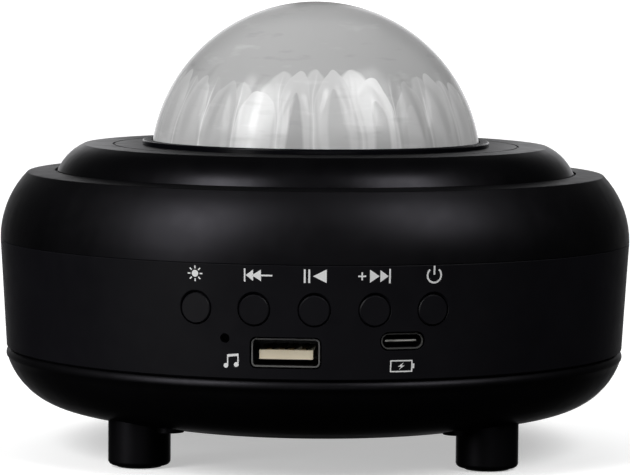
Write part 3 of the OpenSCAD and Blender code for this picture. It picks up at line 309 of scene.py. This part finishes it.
def pointed_arch(tree, across, rise, top, half, soft):
    """A pointed arch: how far a point lies inside it (0 to 1), the signed distance from its edge,
    and a number that falls from 1 at its foot to 0 at its point."""
    up = math_node(tree, "DIVIDE", rise, top, clamp=True)
    left = math_node(tree, "SUBTRACT", 1, math_node(tree, "POWER", up, ARCH_POWER))
    width = math_node(tree, "MULTIPLY", math_node(tree, "POWER", left, ARCH_POINT), half)
    edge = math_node(tree, "SUBTRACT", width, across)
    inside = math_node(tree, "ADD", math_node(tree, "DIVIDE", edge, soft), 0.5, clamp=True)
    inside = math_node(tree, "MULTIPLY", inside, math_node(tree, "LESS_THAN", rise, top))
    return inside, edge, left


def blend(tree, share, start, end):
    """A number between two others."""
    way = math_node(tree, "SUBTRACT", end, start)
    return math_node(tree, "MULTIPLY_ADD", share, way, start)


def arches(tree, turn, rise, shift, half, lower, drops, tones, soft):
    """A round of arches, one for each flute: how far a point is inside one, its painted tone,
    and the painted highlight and shade lines along its edges. Half is its half width in half
    flutes, lower is in degrees, and soft is the width over which its edge fades."""
    moved = math_node(tree, "ADD", turn, shift)
    count = math_node(tree, "FLOOR", moved)
    across = math_node(tree, "MULTIPLY", math_node(tree, "SUBTRACT", moved, count), 2)
    across = math_node(tree, "ABSOLUTE", math_node(tree, "SUBTRACT", across, 1))
    place = math_node(tree, "FLOORED_MODULO", count, len(tones))
    drop = picked(tree, place, drops)
    top = math_node(tree, "MULTIPLY_ADD", drop, -TONE_DROP, TONE_TOP - lower)
    inside, edge, left = pointed_arch(tree, across, rise, top, half, soft)

    def near(value, spot, width):
        """1 where a number is at a spot, falling to 0 at a width from it."""
        off = math_node(tree, "ABSOLUTE", math_node(tree, "SUBTRACT", value, spot))
        off = math_node(tree, "DIVIDE", off, width)
        return math_node(tree, "SUBTRACT", 1, off, clamp=True)

    # painted highlight lines along the arch's edge and between flutes, and a painted shade line beside each
    rim = math_node(tree, "MULTIPLY", near(edge, 0, LINE_WIDTH), EDGE_HIGHLIGHT)
    line = math_node(tree, "MAXIMUM", rim, near(across, 1, LINE_WIDTH))
    shade_line = near(across, 1 - 2.5 * LINE_WIDTH, 1.5 * LINE_WIDTH)
    return (inside, picked(tree, place, tones), math_node(tree, "MULTIPLY", line, left),
            math_node(tree, "MULTIPLY", shade_line, left))


def milky_plastic_painted_light(name, dark, light, rough, clear):
    """Milky clear plastic with the light and shade of the flutes behind it painted into its
    colour: each flute has its own painted tone, with thin painted highlight and shade lines
    along its edges and a narrow tongue of another painted tone up its middle."""
    mat, tree, shader = new_material(name)
    split = tree.nodes.new("ShaderNodeSeparateXYZ")
    tree.links.new(tree.nodes.new("ShaderNodeTexCoord").outputs["Object"], split.inputs["Vector"])
    x, y, z = split.outputs

    def wobble(scale, size, stretch=None):
        offset = math_node(tree, "SUBTRACT", noise(tree, scale, 2, 0.5, stretch), 0.5)
        return math_node(tree, "MULTIPLY", offset, size)

    # the place on the dome: flutes counted round from the front, and height in degrees
    around = math_node(tree, "ARCTAN2", x, math_node(tree, "MULTIPLY", y, -1))
    turn = math_node(tree, "MULTIPLY", around, FLUTES / math.tau)
    turn = math_node(tree, "ADD", turn, wobble(100, 0.55, (1, 1, 0.3)))
    out = math_node(tree, "ADD", math_node(tree, "POWER", x, 2), math_node(tree, "POWER", y, 2))
    out = math_node(tree, "SQRT", out)
    up = math_node(tree, "ARCTAN2", math_node(tree, "SUBTRACT", z, DOME_Z), out)
    rise = math_node(tree, "MULTIPLY", up, 180 / math.pi)
    rise = math_node(tree, "ADD", rise, wobble(120, 10))

    # the crown's painted tone, lighter towards the right
    total = spread(tree, x, CROWN_TONE, CROWN_TONE_RIGHT, 0.45 * DOME_R, 0.95 * DOME_R)
    for highlight_share, *shape in (            # the rest is what arches() takes
            (0.15, 0.5, 1.05, 0, BACK_DROPS, BACK_TONES, 0.2),
            (1.0, 0, 1.0, 0, FLUTE_DROPS, FLUTE_TONES, 0.06),
            (0.0, 0, TONGUE_HALF, TONGUE_LOWER, FLUTE_DROPS, TONGUE_TONES, 0.14)):
        inside, tone, line, shade_line = arches(tree, turn, rise, *shape)
        shade_line = math_node(tree, "MULTIPLY", shade_line, highlight_share * SHADE_LINE_TONE)
        total = blend(tree, inside, total, tone)
        total = blend(tree, shade_line, total, 0.0)
        total = blend(tree, math_node(tree, "MULTIPLY", line, highlight_share), total, 1.0)
    painted_streak = noise(tree, 75, 3, 0.55, (1, 1, 4.5))      # painted light and dark streaks over it all
    for start, end, tone in ((0.60, 0.72, 0.16), (0.40, 0.28, -0.16)):
        total = math_node(tree, "ADD", total, spread(tree, painted_streak, 0.0, tone, start, end))
    ramp = tree.nodes.new("ShaderNodeValToRGB")
    ramp.color_ramp.elements[0].color = (*dark, 1)
    ramp.color_ramp.elements[1].color = (*light, 1)
    haze = spread(tree, noise(tree, 300, 4), rough * 0.9, rough * 1.1)
    tree.links.new(total, ramp.inputs["Fac"])
    tree.links.new(ramp.outputs["Color"], shader.inputs["Base Color"])
    tree.links.new(haze, shader.inputs["Roughness"])
    shader.inputs["Transmission Weight"].default_value = clear
    shader.inputs["IOR"].default_value = ACRYLIC_IOR
    shader.inputs["Specular IOR Level"].default_value = 0.25
    return mat


CASE_DARK, CASE_LIGHT = (0.0010, 0.0010, 0.0012), (0.0018, 0.0018, 0.0020)
CASE_TINT = (0.91, 0.88, 1.0)          # the case's highlights are slightly violet
BAND_DARK, BAND_LIGHT = (0.0040, 0.0038, 0.0052), (0.0054, 0.0052, 0.0068)
# painted shade inside the sockets' shells
PORT_PAINTED_SHADE = (0.006, 0.006, 0.006)

CASE = moulded("case_black", CASE_DARK, CASE_LIGHT, 0.42, specular=0.18, tint=CASE_TINT)
TIER = moulded("tier_black", CASE_DARK, CASE_LIGHT, 0.31, specular=0.17, tint=CASE_TINT)
BAND = moulded("band_black", BAND_DARK, BAND_LIGHT, 0.46, grain=4200, grain_depth=0.009,
               specular=0.15)
BEZEL = moulded("bezel_gloss", (0.002, 0.002, 0.003), (0.003, 0.003, 0.004), 0.20,
                grain_depth=0.002, specular=0.08)
CHASSIS = moulded("chassis_white", (0.62, 0.62, 0.61), (0.68, 0.68, 0.67), 0.4)
BUTTON = moulded("button_black", BAND_DARK, BAND_LIGHT, 0.42, specular=0.15)
INNER = moulded("inner_black", (0.02, 0.02, 0.021), (0.028, 0.028, 0.03), 0.5)
SWITCH = moulded("switch_grey", (0.05, 0.05, 0.052), (0.07, 0.07, 0.072), 0.5)
WHITE = moulded("reflector_white", (0.76, 0.76, 0.75), (0.82, 0.82, 0.81), 0.3)
IVORY = moulded("gear_ivory", (0.62, 0.57, 0.45), (0.7, 0.65, 0.52), 0.38)
CREAM = moulded("tongue_cream", (0.70, 0.62, 0.46), (0.78, 0.70, 0.54), 0.45, grain_depth=0.01)
# the tongue's plate edge is a painted highlight
TONGUE = tongue_with_plate_highlight("tongue_black")
RUBBER = moulded("pad_rubber", (0.012, 0.012, 0.012), (0.02, 0.02, 0.02), 0.78, grain=2600,
                 grain_depth=0.02)
BOARD = moulded("board_green", (0.006, 0.07, 0.03), (0.01, 0.095, 0.04), 0.35, grain=1500)
LAMP_BOARD = moulded("lamp_board_white", (0.72, 0.72, 0.71), (0.8, 0.8, 0.79), 0.42)
EMITTER = moulded("emitter_yellow", (0.72, 0.55, 0.1), (0.85, 0.68, 0.16), 0.3)
PAPER = moulded("cone_paper", (0.018, 0.018, 0.02), (0.035, 0.035, 0.037), 0.85, grain=2200,
                grain_depth=0.04)
FOAM = moulded("gasket_foam", (0.03, 0.03, 0.03), (0.05, 0.05, 0.05), 0.95, grain=2400,
               grain_depth=0.08)
BASKET = moulded("basket_black", (0.015, 0.015, 0.016), (0.022, 0.022, 0.024), 0.35)
# the sockets' shells, darkened inside with painted shade
PORT_A = sheet_painted_dark_inside("port_a_shell_painted_shade", "usb_a_shell", USB_A_SIDE, PORT_PAINTED_SHADE, (0.18, 0.18, 0.176))
PORT_C = sheet_painted_dark_inside("port_c_shell_painted_shade", "usb_c_shell", USB_C_SIDE, PORT_PAINTED_SHADE, (0.11, 0.11, 0.107))
STEEL = metal("shell_steel", (0.50, 0.49, 0.47), (0.62, 0.61, 0.59), 0.25, brushed=(1, 1, 14))
SCREW = metal("screw_steel", (0.42, 0.42, 0.43), (0.55, 0.55, 0.56), 0.32)
# gold darkened far below its own colour: painted shade deep in the USB-A socket
CONTACT_PAINTED_SHADE = metal("contact_gold_painted_shade", (0.10, 0.07, 0.03), (0.16, 0.11, 0.05), 0.5)
MAGNET = metal("magnet_iron", (0.10, 0.10, 0.105), (0.16, 0.16, 0.165), 0.45)
ALUMINIUM = metal("sink_aluminium", (0.55, 0.55, 0.56), (0.66, 0.66, 0.67), 0.34,
                  brushed=(1, 12, 1))
LENS = clear_plastic("lens_clear", (0.97, 0.98, 0.99), 0.04)
RIPPLE = clear_plastic("ripple_clear", (0.96, 0.97, 0.99), 0.08, ripple=0.3)
# the flutes' light and shade, painted into the dome's colour
DOME = milky_plastic_painted_light("dome_milky_painted_light", (0.45, 0.45, 0.45), (0.95, 0.95, 0.95), 0.22, clear=0.35)
DOME_INSIDE = clear_plastic("dome_inside", (0.90, 0.90, 0.90), 0.05)
PRINT = moulded("print_white", (0.84, 0.84, 0.84), (0.90, 0.90, 0.90), 0.6, grain=3000,
                grain_depth=0.01)

LOOKS = {
    "lower_housing": CASE, "upper_housing": CASE, "top_cover": TIER, "middle_band": BAND,
    "dome_bezel": BEZEL, "dome": DOME,
    "foot_front_left": CASE, "foot_front_right": CASE,
    "foot_back_left": CASE, "foot_back_right": CASE,
    "foot_pads": RUBBER, "foot_screws": SCREW, "case_screws": SCREW, "cover_screws": SCREW,
    "switch_bodies": SWITCH, "main_board": BOARD, "board_screws": SCREW, "board_parts": INNER,
    "usb_a_shell": PORT_A, "usb_a_tongue": CREAM, "usb_a_contacts": CONTACT_PAINTED_SHADE,
    "usb_c_shell": PORT_C, "usb_c_tongue": TONGUE, "microphone": CASE,
    "speaker_grille": INNER, "speaker_gasket": FOAM, "speaker_basket": BASKET,
    "speaker_magnet": MAGNET, "speaker_screws": SCREW, "speaker_cone": PAPER,
    "speaker_surround": RUBBER,
    "light_chassis": CHASSIS, "chassis_screws": SCREW, "heat_sink": ALUMINIUM,
    "sink_screws": SCREW, "lamp_board": LAMP_BOARD, "lamp_emitters": EMITTER,
    "lamp_lens": LENS, "reflector_cup": WHITE,
    "ripple_disc": RIPPLE, "disc_retainer": CHASSIS, "retainer_screws": SCREW,
    "drive_motor": STEEL, "motor_screws": SCREW, "drive_pinion": IVORY,
}
for control in ("light", "previous", "play", "next", "power"):
    LOOKS["button_" + control] = BUTTON
    LOOKS["plunger_" + control] = WHITE

for name, look in LOOKS.items():
    slots = nodes[name].data.materials
    if len(slots):
        for i in range(len(slots)):
            slots[i] = look
    else:
        slots.append(look)


def add_mesh(name, bm, looks, body="housing"):
    """A new piece from a bmesh, riding on a body if there is one."""
    mesh = bpy.data.meshes.new(name)
    bm.to_mesh(mesh)
    bm.free()
    for look in looks:
        mesh.materials.append(look)
    piece = bpy.data.objects.new(name, mesh)
    bpy.context.scene.collection.objects.link(piece)
    if body:
        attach(piece, body)
    return piece


# ------------------------------------------------------------ tub's edge
# The tub with a fine, even round along its top edge, where the light runs along the lower seam.

LIP_TOP = 22.3 * MM
LIP_ROUND = 1.5 * MM
LIP_OUT = 68.66 * MM
LIP_IN = 66.95 * MM
LIP_SEGMENTS = 288
LIP_ANGLES = (-16, -8, 0, 9, 18, 27, 36, 45, 54, 63, 72, 81, 90)
LIP_SIDE = ((66.95, 18.72), (67.853, 18.72), (68.395, 20.16))   # radius and height in millimetres
OLD_EDGE_R = 66.9 * MM                 # the old edge is what lies outside this and above
OLD_EDGE_Z = 21 * MM
DRAWN_IN = 1.0 * MM
DRAWN_DOWN = 0.3 * MM


def add_ring(name, profile, segments, look, body="housing"):
    """A closed ring turned from an outline of (radius, height) points."""
    bm = bmesh.new()
    rings = []
    for r, z in profile:
        turn = [math.tau * j / segments for j in range(segments)]
        rings.append([bm.verts.new((r * math.sin(a), -r * math.cos(a), z)) for a in turn])
    for near, far in zip(rings, rings[1:] + rings[:1]):
        for j in range(segments):
            k = (j + 1) % segments
            bm.faces.new((near[j], near[k], far[k], far[j])).smooth = True
    bmesh.ops.recalc_face_normals(bm, faces=bm.faces[:])
    ring = add_mesh(name, bm, (look,), body)
    ring.data.set_sharp_from_angle(angle=math.radians(40))
    return ring


def make_tub():
    mesh = nodes["lower_housing"].data.copy()
    for v in mesh.vertices:                # the old edge draws back under the new one
        r = math.hypot(v.co.x, v.co.y)
        if r > OLD_EDGE_R and v.co.z > OLD_EDGE_Z:
            share = 1 - DRAWN_IN / r
            v.co = (v.co.x * share, v.co.y * share, v.co.z - DRAWN_DOWN)
    tub = bpy.data.objects.new("tub", mesh)
    bpy.context.scene.collection.objects.link(tub)
    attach(tub, "housing")
    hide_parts("lower_housing")

    profile = [(r * MM, z * MM) for r, z in LIP_SIDE]
    for angle in LIP_ANGLES:
        a = math.radians(angle)
        profile.append((LIP_OUT - LIP_ROUND * (1 - math.cos(a)),
                        LIP_TOP - LIP_ROUND * (1 - math.sin(a))))
    profile.append((LIP_IN, LIP_TOP))
    add_ring("tub_edge", profile, LIP_SEGMENTS, CASE)


make_tub()


# ------------------------------------------------------ speaker's surround
# A half roll of rubber: its outer edge stays on the basket, and its inner edge moves with the
# cone.

ROLL_MIDDLE = 20.7 * MM                # radius at the middle of the roll
ROLL_HALF = 1.1 * MM
ROLL_THICK = 0.4 * MM
ROLL_FLANGE = 1.0 * MM
ROLL_Z = 13.5 * MM
ROLL_SEGMENTS = 120
ROLL_IN = ROLL_MIDDLE - ROLL_HALF
ROLL_OUT = ROLL_MIDDLE + ROLL_HALF


def make_surround():
    def arc(radius, angles):
        turn = [math.radians(a) for a in angles]
        return [(ROLL_MIDDLE - radius * math.cos(a), ROLL_Z - radius * math.sin(a)) for a in turn]

    top = ROLL_Z + ROLL_THICK
    under = [(ROLL_IN - ROLL_FLANGE, ROLL_Z)] + arc(ROLL_HALF, range(0, 181, 12))
    over = arc(ROLL_HALF - ROLL_THICK, range(180, -1, -15))
    profile = under + [(ROLL_OUT + ROLL_FLANGE, ROLL_Z), (ROLL_OUT + ROLL_FLANGE, top),
                       (ROLL_OUT - ROLL_THICK, top)]
    profile += over + [(ROLL_IN + ROLL_THICK, top), (ROLL_IN - ROLL_FLANGE, top)]
    roll = add_ring("surround_roll", profile, ROLL_SEGMENTS, RUBBER, body=None)
    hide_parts("speaker_surround")
    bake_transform(roll, "housing", "speaker_cone", start=(ROLL_MIDDLE + ROLL_HALF, 0, ROLL_Z),
             end=(ROLL_MIDDLE - ROLL_HALF, 0, ROLL_Z))
    weights = roll.data.attributes["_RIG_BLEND"].data
    for v in roll.data.vertices:           # the same bend all round, by the distance outwards
        t = (ROLL_OUT - math.hypot(v.co.x, v.co.y)) / (2 * ROLL_HALF)
        t = min(1.0, max(0.0, t))
        weights[v.index].value = t * t * (3 - 2 * t)


make_surround()


# ------------------------------------------------------------------- dome
# Smooth outside; inside 24 upright flutes with pointed tops, and ring ripples in the crown.

FLUTE_DEPTH = 0.7 * MM
FLUTE_TOP = 36                         # height of the flutes' points, in degrees
FLUTE_STAGGER = 3                      # every second flute ends this much higher or lower
FLUTE_POWER = 3                        # higher: a flute keeps its width further up
FLUTE_POINT = 0.65                     # higher: a flute ends in a sharper point
FLUTE_FADE = 1.6                       # a flute gets shallower where it is narrower than 1 / this
CROWN_RIPPLE = 0.1 * MM
CROWN_RINGS = 14                       # waves in 360 degrees of height
CROWN_START = 45                       # the ripples start at this height, in degrees
DOME_COLUMNS = FLUTES * 16
DOME_ROWS = 72


def flute_depth(turn, rise):
    """Depth of the flutes at a turn, counted in flutes, and a height in degrees."""
    k = math.floor(turn)
    top = FLUTE_TOP + (FLUTE_STAGGER if k % 2 == 0 else -FLUTE_STAGGER)
    if rise >= top:
        return 0.0
    width = (1 - (max(rise, 0) / top) ** FLUTE_POWER) ** FLUTE_POINT
    across = abs(2 * (turn - k) - 1)
    if across >= width:
        return 0.0
    return FLUTE_DEPTH * min(1, FLUTE_FADE * width) * (1 - (across / width) ** 2)


def crown_wave(rise):
    wave = math.cos(math.radians((90 - rise) * CROWN_RINGS))
    return CROWN_RIPPLE * wave * max(0.0, (rise - CROWN_START) / (90 - CROWN_START))


def ring_of(bm, points):
    """A ring of vertices from the radius and the height at each column."""
    verts = []
    for j, (r, z) in enumerate(points):
        a = math.tau * j / DOME_COLUMNS - math.pi / 2
        verts.append(bm.verts.new((r * math.cos(a), r * math.sin(a), z)))
    return verts


def make_dome():
    bm = bmesh.new()
    per_flute = DOME_COLUMNS // FLUTES
    inner_r = DOME_R - DOME_WALL
    foot_rise = math.degrees(math.asin((DOME_FLANGE_TOP - DOME_Z) / DOME_R))
    inner_foot = math.degrees(math.asin((DOME_FOOT - DOME_Z) / inner_r))

    def rises(start):
        return [start + (90 - start) * i / DOME_ROWS for i in range(DOME_ROWS)]

    outer = [ring_of(bm, [(DOME_FLANGE_R, DOME_FOOT)] * DOME_COLUMNS),
             ring_of(bm, [(DOME_FLANGE_R, DOME_FLANGE_TOP)] * DOME_COLUMNS)]
    for rise in rises(foot_rise):
        e = math.radians(rise)
        point = (DOME_R * math.cos(e), DOME_Z + DOME_R * math.sin(e))
        outer.append(ring_of(bm, [point] * DOME_COLUMNS))
    top = bm.verts.new((0, 0, DOME_TOP))
    inner = []
    for i, rise in enumerate(rises(inner_foot)):
        e = math.radians(rise)
        points = []
        for j in range(DOME_COLUMNS):
            r = inner_r + crown_wave(rise) + flute_depth(j / per_flute, rise)
            points.append((r * math.cos(e), DOME_Z + r * math.sin(e) if i else DOME_FOOT))
        inner.append(ring_of(bm, points))
    crown = bm.verts.new((0, 0, DOME_Z + inner_r + crown_wave(90)))

    outside = list(zip(outer, outer[1:])) + [(inner[0], outer[0])]
    inside = [(b, a) for a, b in zip(inner, inner[1:])]
    for j in range(DOME_COLUMNS):
        k = (j + 1) % DOME_COLUMNS
        for index, pairs in enumerate((outside, inside)):
            for near, far in pairs:
                bm.faces.new((near[j], near[k], far[k], far[j])).material_index = index
        bm.faces.new((outer[-1][j], outer[-1][k], top))
        bm.faces.new((inner[-1][k], inner[-1][j], crown)).material_index = 1
    for face in bm.faces:
        face.smooth = True
    dome = add_mesh("fluted_dome", bm, (DOME, DOME_INSIDE))
    dome.data.set_sharp_from_angle(angle=math.radians(50))
    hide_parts("dome")
    dome.visible_glossy = False            # the tier round it stays dark, as in the photograph


make_dome()


# ---------------------------------------------------------- printed signs
# Each sign is a list of closed outlines, x to the right and y up from its middle. They and
# PRINT_STEP are in millimetres.

PRINT_PROUD = 0.025 * MM
PRINT_SUNK = 0.02 * MM
PRINT_STEP = 0.5                       # a sign bends round the band in steps of this width


def bar(x0, y0, x1, y1):
    return [(x0, y0), (x1, y0), (x1, y1), (x0, y1)]


def arrow(tip, base, half):
    """A triangle from its tip's x to its base's x."""
    return [(tip, 0), (base, -half), (base, half)]


def disc(x, y, r, n=24):
    turn = [math.tau * i / n for i in range(n)]
    return [(x + r * math.cos(a), y + r * math.sin(a)) for a in turn]


def arc_band(r_in, r_out, start, end, n=28):
    """Part of a ring, with angles in degrees from +x."""
    turn = [math.radians(start + (end - start) * i / n) for i in range(n + 1)]
    return [(r_out * math.cos(a), r_out * math.sin(a)) for a in turn] + \
        [(r_in * math.cos(a), r_in * math.sin(a)) for a in reversed(turn)]


def turned(outline, degrees):
    c, s = math.cos(math.radians(degrees)), math.sin(math.radians(degrees))
    return [(x * c - y * s, x * s + y * c) for x, y in outline]


SUN = [disc(0, 0, 0.72)] + [turned(bar(1.02, -0.14, 1.62, 0.14), 45 * i) for i in range(8)]
PREVIOUS = [bar(-3.0, -1.35, -2.68, 1.35), arrow(-2.62, -1.05, 1.2), arrow(-1.35, 0.55, 1.2),
            bar(0.56, -0.17, 2.9, 0.17)]
PLAY = [bar(-2.34, -1.4, -1.96, 1.4), bar(-1.42, -1.4, -1.04, 1.4), arrow(-0.45, 2.34, 1.4)]
NEXT = [bar(-3.4, -0.17, -1.75, 0.17), bar(-2.74, -0.82, -2.41, -0.18),
        bar(-2.74, 0.18, -2.41, 0.82), arrow(1.05, -0.95, 1.35), arrow(2.95, 1.2, 1.25),
        bar(3.05, -1.5, 3.4, 1.5)]
POWER = [arc_band(1.32, 1.7, 130, 410), bar(-0.19, 0.1, 0.19, 2.0)]
NOTES = [disc(-1.25, -0.95, 0.5), disc(0.95, -0.7, 0.5), bar(-1.0, -0.9, -0.75, 1.25),
         bar(1.2, -0.65, 1.45, 1.5), [(-1.0, 0.85), (1.45, 1.1), (1.45, 1.6), (-1.0, 1.35)]]
CHARGE = [bar(-2.6, -1.25, 2.2, -0.98), bar(-2.6, 0.98, 2.2, 1.25),
          bar(-2.6, -0.97, -2.33, 0.97), bar(1.93, -0.97, 2.2, 0.97), bar(2.22, -0.5, 2.6, 0.5),
          [(0.35, 0.78), (-0.95, -0.12), (-0.2, -0.12), (-0.75, -0.78), (0.55, 0.12),
           (-0.2, 0.12)]]


def make_sign(name, outlines, side, z):
    """Prints outlines on the band at a side angle and a height, bent round it."""
    bm = bmesh.new()
    for outline in outlines:
        bm.faces.new([bm.verts.new((x, y, 0)) for x, y in outline])
    wide = max(abs(v.co.x) for v in bm.verts)
    steps = int(wide / PRINT_STEP)
    for i in range(-steps, steps + 1):
        bmesh.ops.bisect_plane(bm, geom=bm.verts[:] + bm.edges[:] + bm.faces[:], dist=1e-6,
                               plane_co=(i * PRINT_STEP, 0, 0), plane_no=(1, 0, 0))
    bmesh.ops.recalc_face_normals(bm, faces=bm.faces[:])
    for face in bm.faces:
        if face.normal.z < 0:
            face.normal_flip()
    bmesh.ops.triangulate(bm, faces=bm.faces[:])
    solid = bmesh.ops.extrude_face_region(bm, geom=bm.faces[:])
    for v in (g for g in solid["geom"] if isinstance(g, bmesh.types.BMVert)):
        v.co.z = 1
    for v in bm.verts:
        height = z + v.co.y * MM
        r = band_radius(height)
        a = math.radians(side) + v.co.x * MM / r
        r += PRINT_PROUD if v.co.z else -PRINT_SUNK
        v.co = (r * math.sin(a), -r * math.cos(a), height)
    bmesh.ops.recalc_face_normals(bm, faces=bm.faces[:])
    add_mesh(name, bm, (PRINT,))


# name, outlines, side angle in degrees, and height above the lower seam in millimetres
for name, outlines, side, height in (
        ("sign_light", SUN, -20.6, 21.7), ("sign_previous", PREVIOUS, -9.5, 21.7),
        ("sign_play", PLAY, 0.1, 21.7), ("sign_next", NEXT, 10.1, 21.7),
        ("sign_power", POWER, 20.6, 21.7), ("sign_music", NOTES, -14.2, 3.8),
        ("sign_charge", CHARGE, USB_C_SIDE, 3.0)):
    make_sign(name, outlines, side, SEAM_LOW + height * MM)


# ------------------------------------------------------------------ stage

FOCAL_PX, FRAME_PX = 3592.0, 630       # focal length and frame width, both in pixels
SENSOR = 36
CAMERA_AT = (0, -0.8, 0.11055)
CAMERA_PITCH, CAMERA_ROLL = 4.59, 0.48      # in degrees
FLOOR_HALF = 12                        # half width of the floor, in metres
GLOW_STOPS = ((0.88, 0.01), (0.96, 0.2), (0.995, 1.3))   # place from front, 0, to back, 1; glow
GLOW_DARK, GLOW_FULL = 0.046, 0.058    # how far aside the glow starts, and where it is full
CLEAR_SHARE = 0.7                      # how much of the pale room shows through clear plastic

# name, side angle and height angle in degrees, distance, size and power
KEYS = (("key_left", -49, 39, 1.3, (0.5, 0.75), 11.5),
        ("key_right", 49, 45, 1.3, (0.5, 0.75), 8.2),
        ("low_left", -49, 12, 1.3, (0.34, 0.3), 2.9),
        ("low_front", 7, 3, 1.3, (0.9, 0.06), 0.5))
FLOOR_FILL = ("floor_fill", 180, 28, 5.5, (8, 8), 290)
FLOOR_AIM = (0, 4.86, 0)               # on the floor, straight below the fill


def place_light(name, side, rise, distance, size, power, aim=(0, 0, 0.05)):
    """A soft rectangular light at a side angle and a height angle, turned towards the aim."""
    data = bpy.data.lights.new(name, "AREA")
    data.shape = "RECTANGLE"
    data.size, data.size_y = size
    data.energy = power
    light = bpy.data.objects.new(name, data)
    bpy.context.scene.collection.objects.link(light)
    a, e = math.radians(side), math.radians(rise)
    light.location = (distance * math.cos(e) * math.sin(a),
                      -distance * math.cos(e) * math.cos(a), distance * math.sin(e))
    way = Vector(aim) - light.location
    light.rotation_euler = way.to_track_quat("-Z", "Y").to_euler()
    return light


def make_floor():
    """A wide pale floor. As in a cut-out studio shot, it throws no light back."""
    mesh = bpy.data.meshes.new("floor")
    bm = bmesh.new()
    bmesh.ops.create_grid(bm, x_segments=8, y_segments=8, size=FLOOR_HALF)
    bm.to_mesh(mesh)
    bm.free()
    floor = bpy.data.objects.new("floor", mesh)
    bpy.context.scene.collection.objects.link(floor)
    mat, tree, shader = new_material("floor_pale")
    tree.links.new(two_tone(tree, noise(tree, 3, 3), (0.80, 0.80, 0.80), (0.82, 0.82, 0.82)),
                   shader.inputs["Base Color"])
    shader.inputs["Roughness"].default_value = 0.9
    shader.inputs["Emission Color"].default_value = (1, 1, 1, 1)
    shader.inputs["Emission Strength"].default_value = 0.45
    mesh.materials.append(mat)
    floor.visible_glossy = False
    floor.visible_diffuse = False


def make_world():
    """Studio surroundings: pale for the camera; for reflections light behind, on both sides of
    a dark middle, and dark elsewhere."""
    world = bpy.data.worlds.new("studio")
    bpy.context.scene.world = world
    world.use_nodes = True
    tree = world.node_tree
    tree.nodes.clear()
    out = tree.nodes.new("ShaderNodeOutputWorld")
    back = tree.nodes.new("ShaderNodeBackground")
    back.inputs["Strength"].default_value = 1.0
    coord = tree.nodes.new("ShaderNodeTexCoord")
    split = tree.nodes.new("ShaderNodeSeparateXYZ")
    tree.links.new(coord.outputs["Generated"], split.inputs["Vector"])
    ramp = tree.nodes.new("ShaderNodeValToRGB")
    ramp.color_ramp.elements.new(0.5)
    for stop, (place, level) in zip(ramp.color_ramp.elements, GLOW_STOPS):
        stop.position = place
        stop.color = (level, level, level * 1.02, 1)
    tree.links.new(spread(tree, split.outputs["Y"], 0, 1, -1, 1), ramp.inputs["Fac"])
    aside = math_node(tree, "ABSOLUTE", split.outputs["X"])
    glow = tree.nodes.new("ShaderNodeVectorMath")
    glow.operation = "SCALE"
    tree.links.new(ramp.outputs["Color"], glow.inputs[0])
    tree.links.new(spread(tree, aside, 0.0, 1.0, GLOW_DARK, GLOW_FULL), glow.inputs["Scale"])
    path = tree.nodes.new("ShaderNodeLightPath")
    pale = math_node(tree, "MULTIPLY_ADD", path.outputs["Is Transmission Ray"], CLEAR_SHARE,
                     path.outputs["Is Camera Ray"])
    mix = tree.nodes.new("ShaderNodeMix")
    mix.data_type = "RGBA"
    mix.inputs["B"].default_value = (1, 1, 1, 1)
    tree.links.new(pale, mix.inputs["Factor"])
    tree.links.new(glow.outputs["Vector"], mix.inputs["A"])
    tree.links.new(mix.outputs["Result"], back.inputs["Color"])
    tree.links.new(back.outputs["Background"], out.inputs["Surface"])


def make_camera():
    """The camera at the photograph's viewing angle, found from the ellipses of the seams, the
    deck and the tier."""
    data = bpy.data.cameras.new("camera")
    data.sensor_width = SENSOR
    data.lens = FOCAL_PX / FRAME_PX * SENSOR
    data.clip_start = 0.01
    camera = bpy.data.objects.new("camera", data)
    bpy.context.scene.collection.objects.link(camera)
    tilt = Matrix.Rotation(math.pi / 2 - math.radians(CAMERA_PITCH), 4, "X")
    roll = Matrix.Rotation(math.radians(CAMERA_ROLL), 4, "Z")
    camera.matrix_world = Matrix.Translation(CAMERA_AT) @ tilt @ roll
    bpy.context.scene.camera = camera


make_floor()
make_world()
make_camera()
for key in KEYS:
    place_light(*key).visible_transmission = False
place_light(*FLOOR_FILL, aim=FLOOR_AIM).visible_glossy = False
bpy.context.scene.view_settings.view_transform = "Standard"
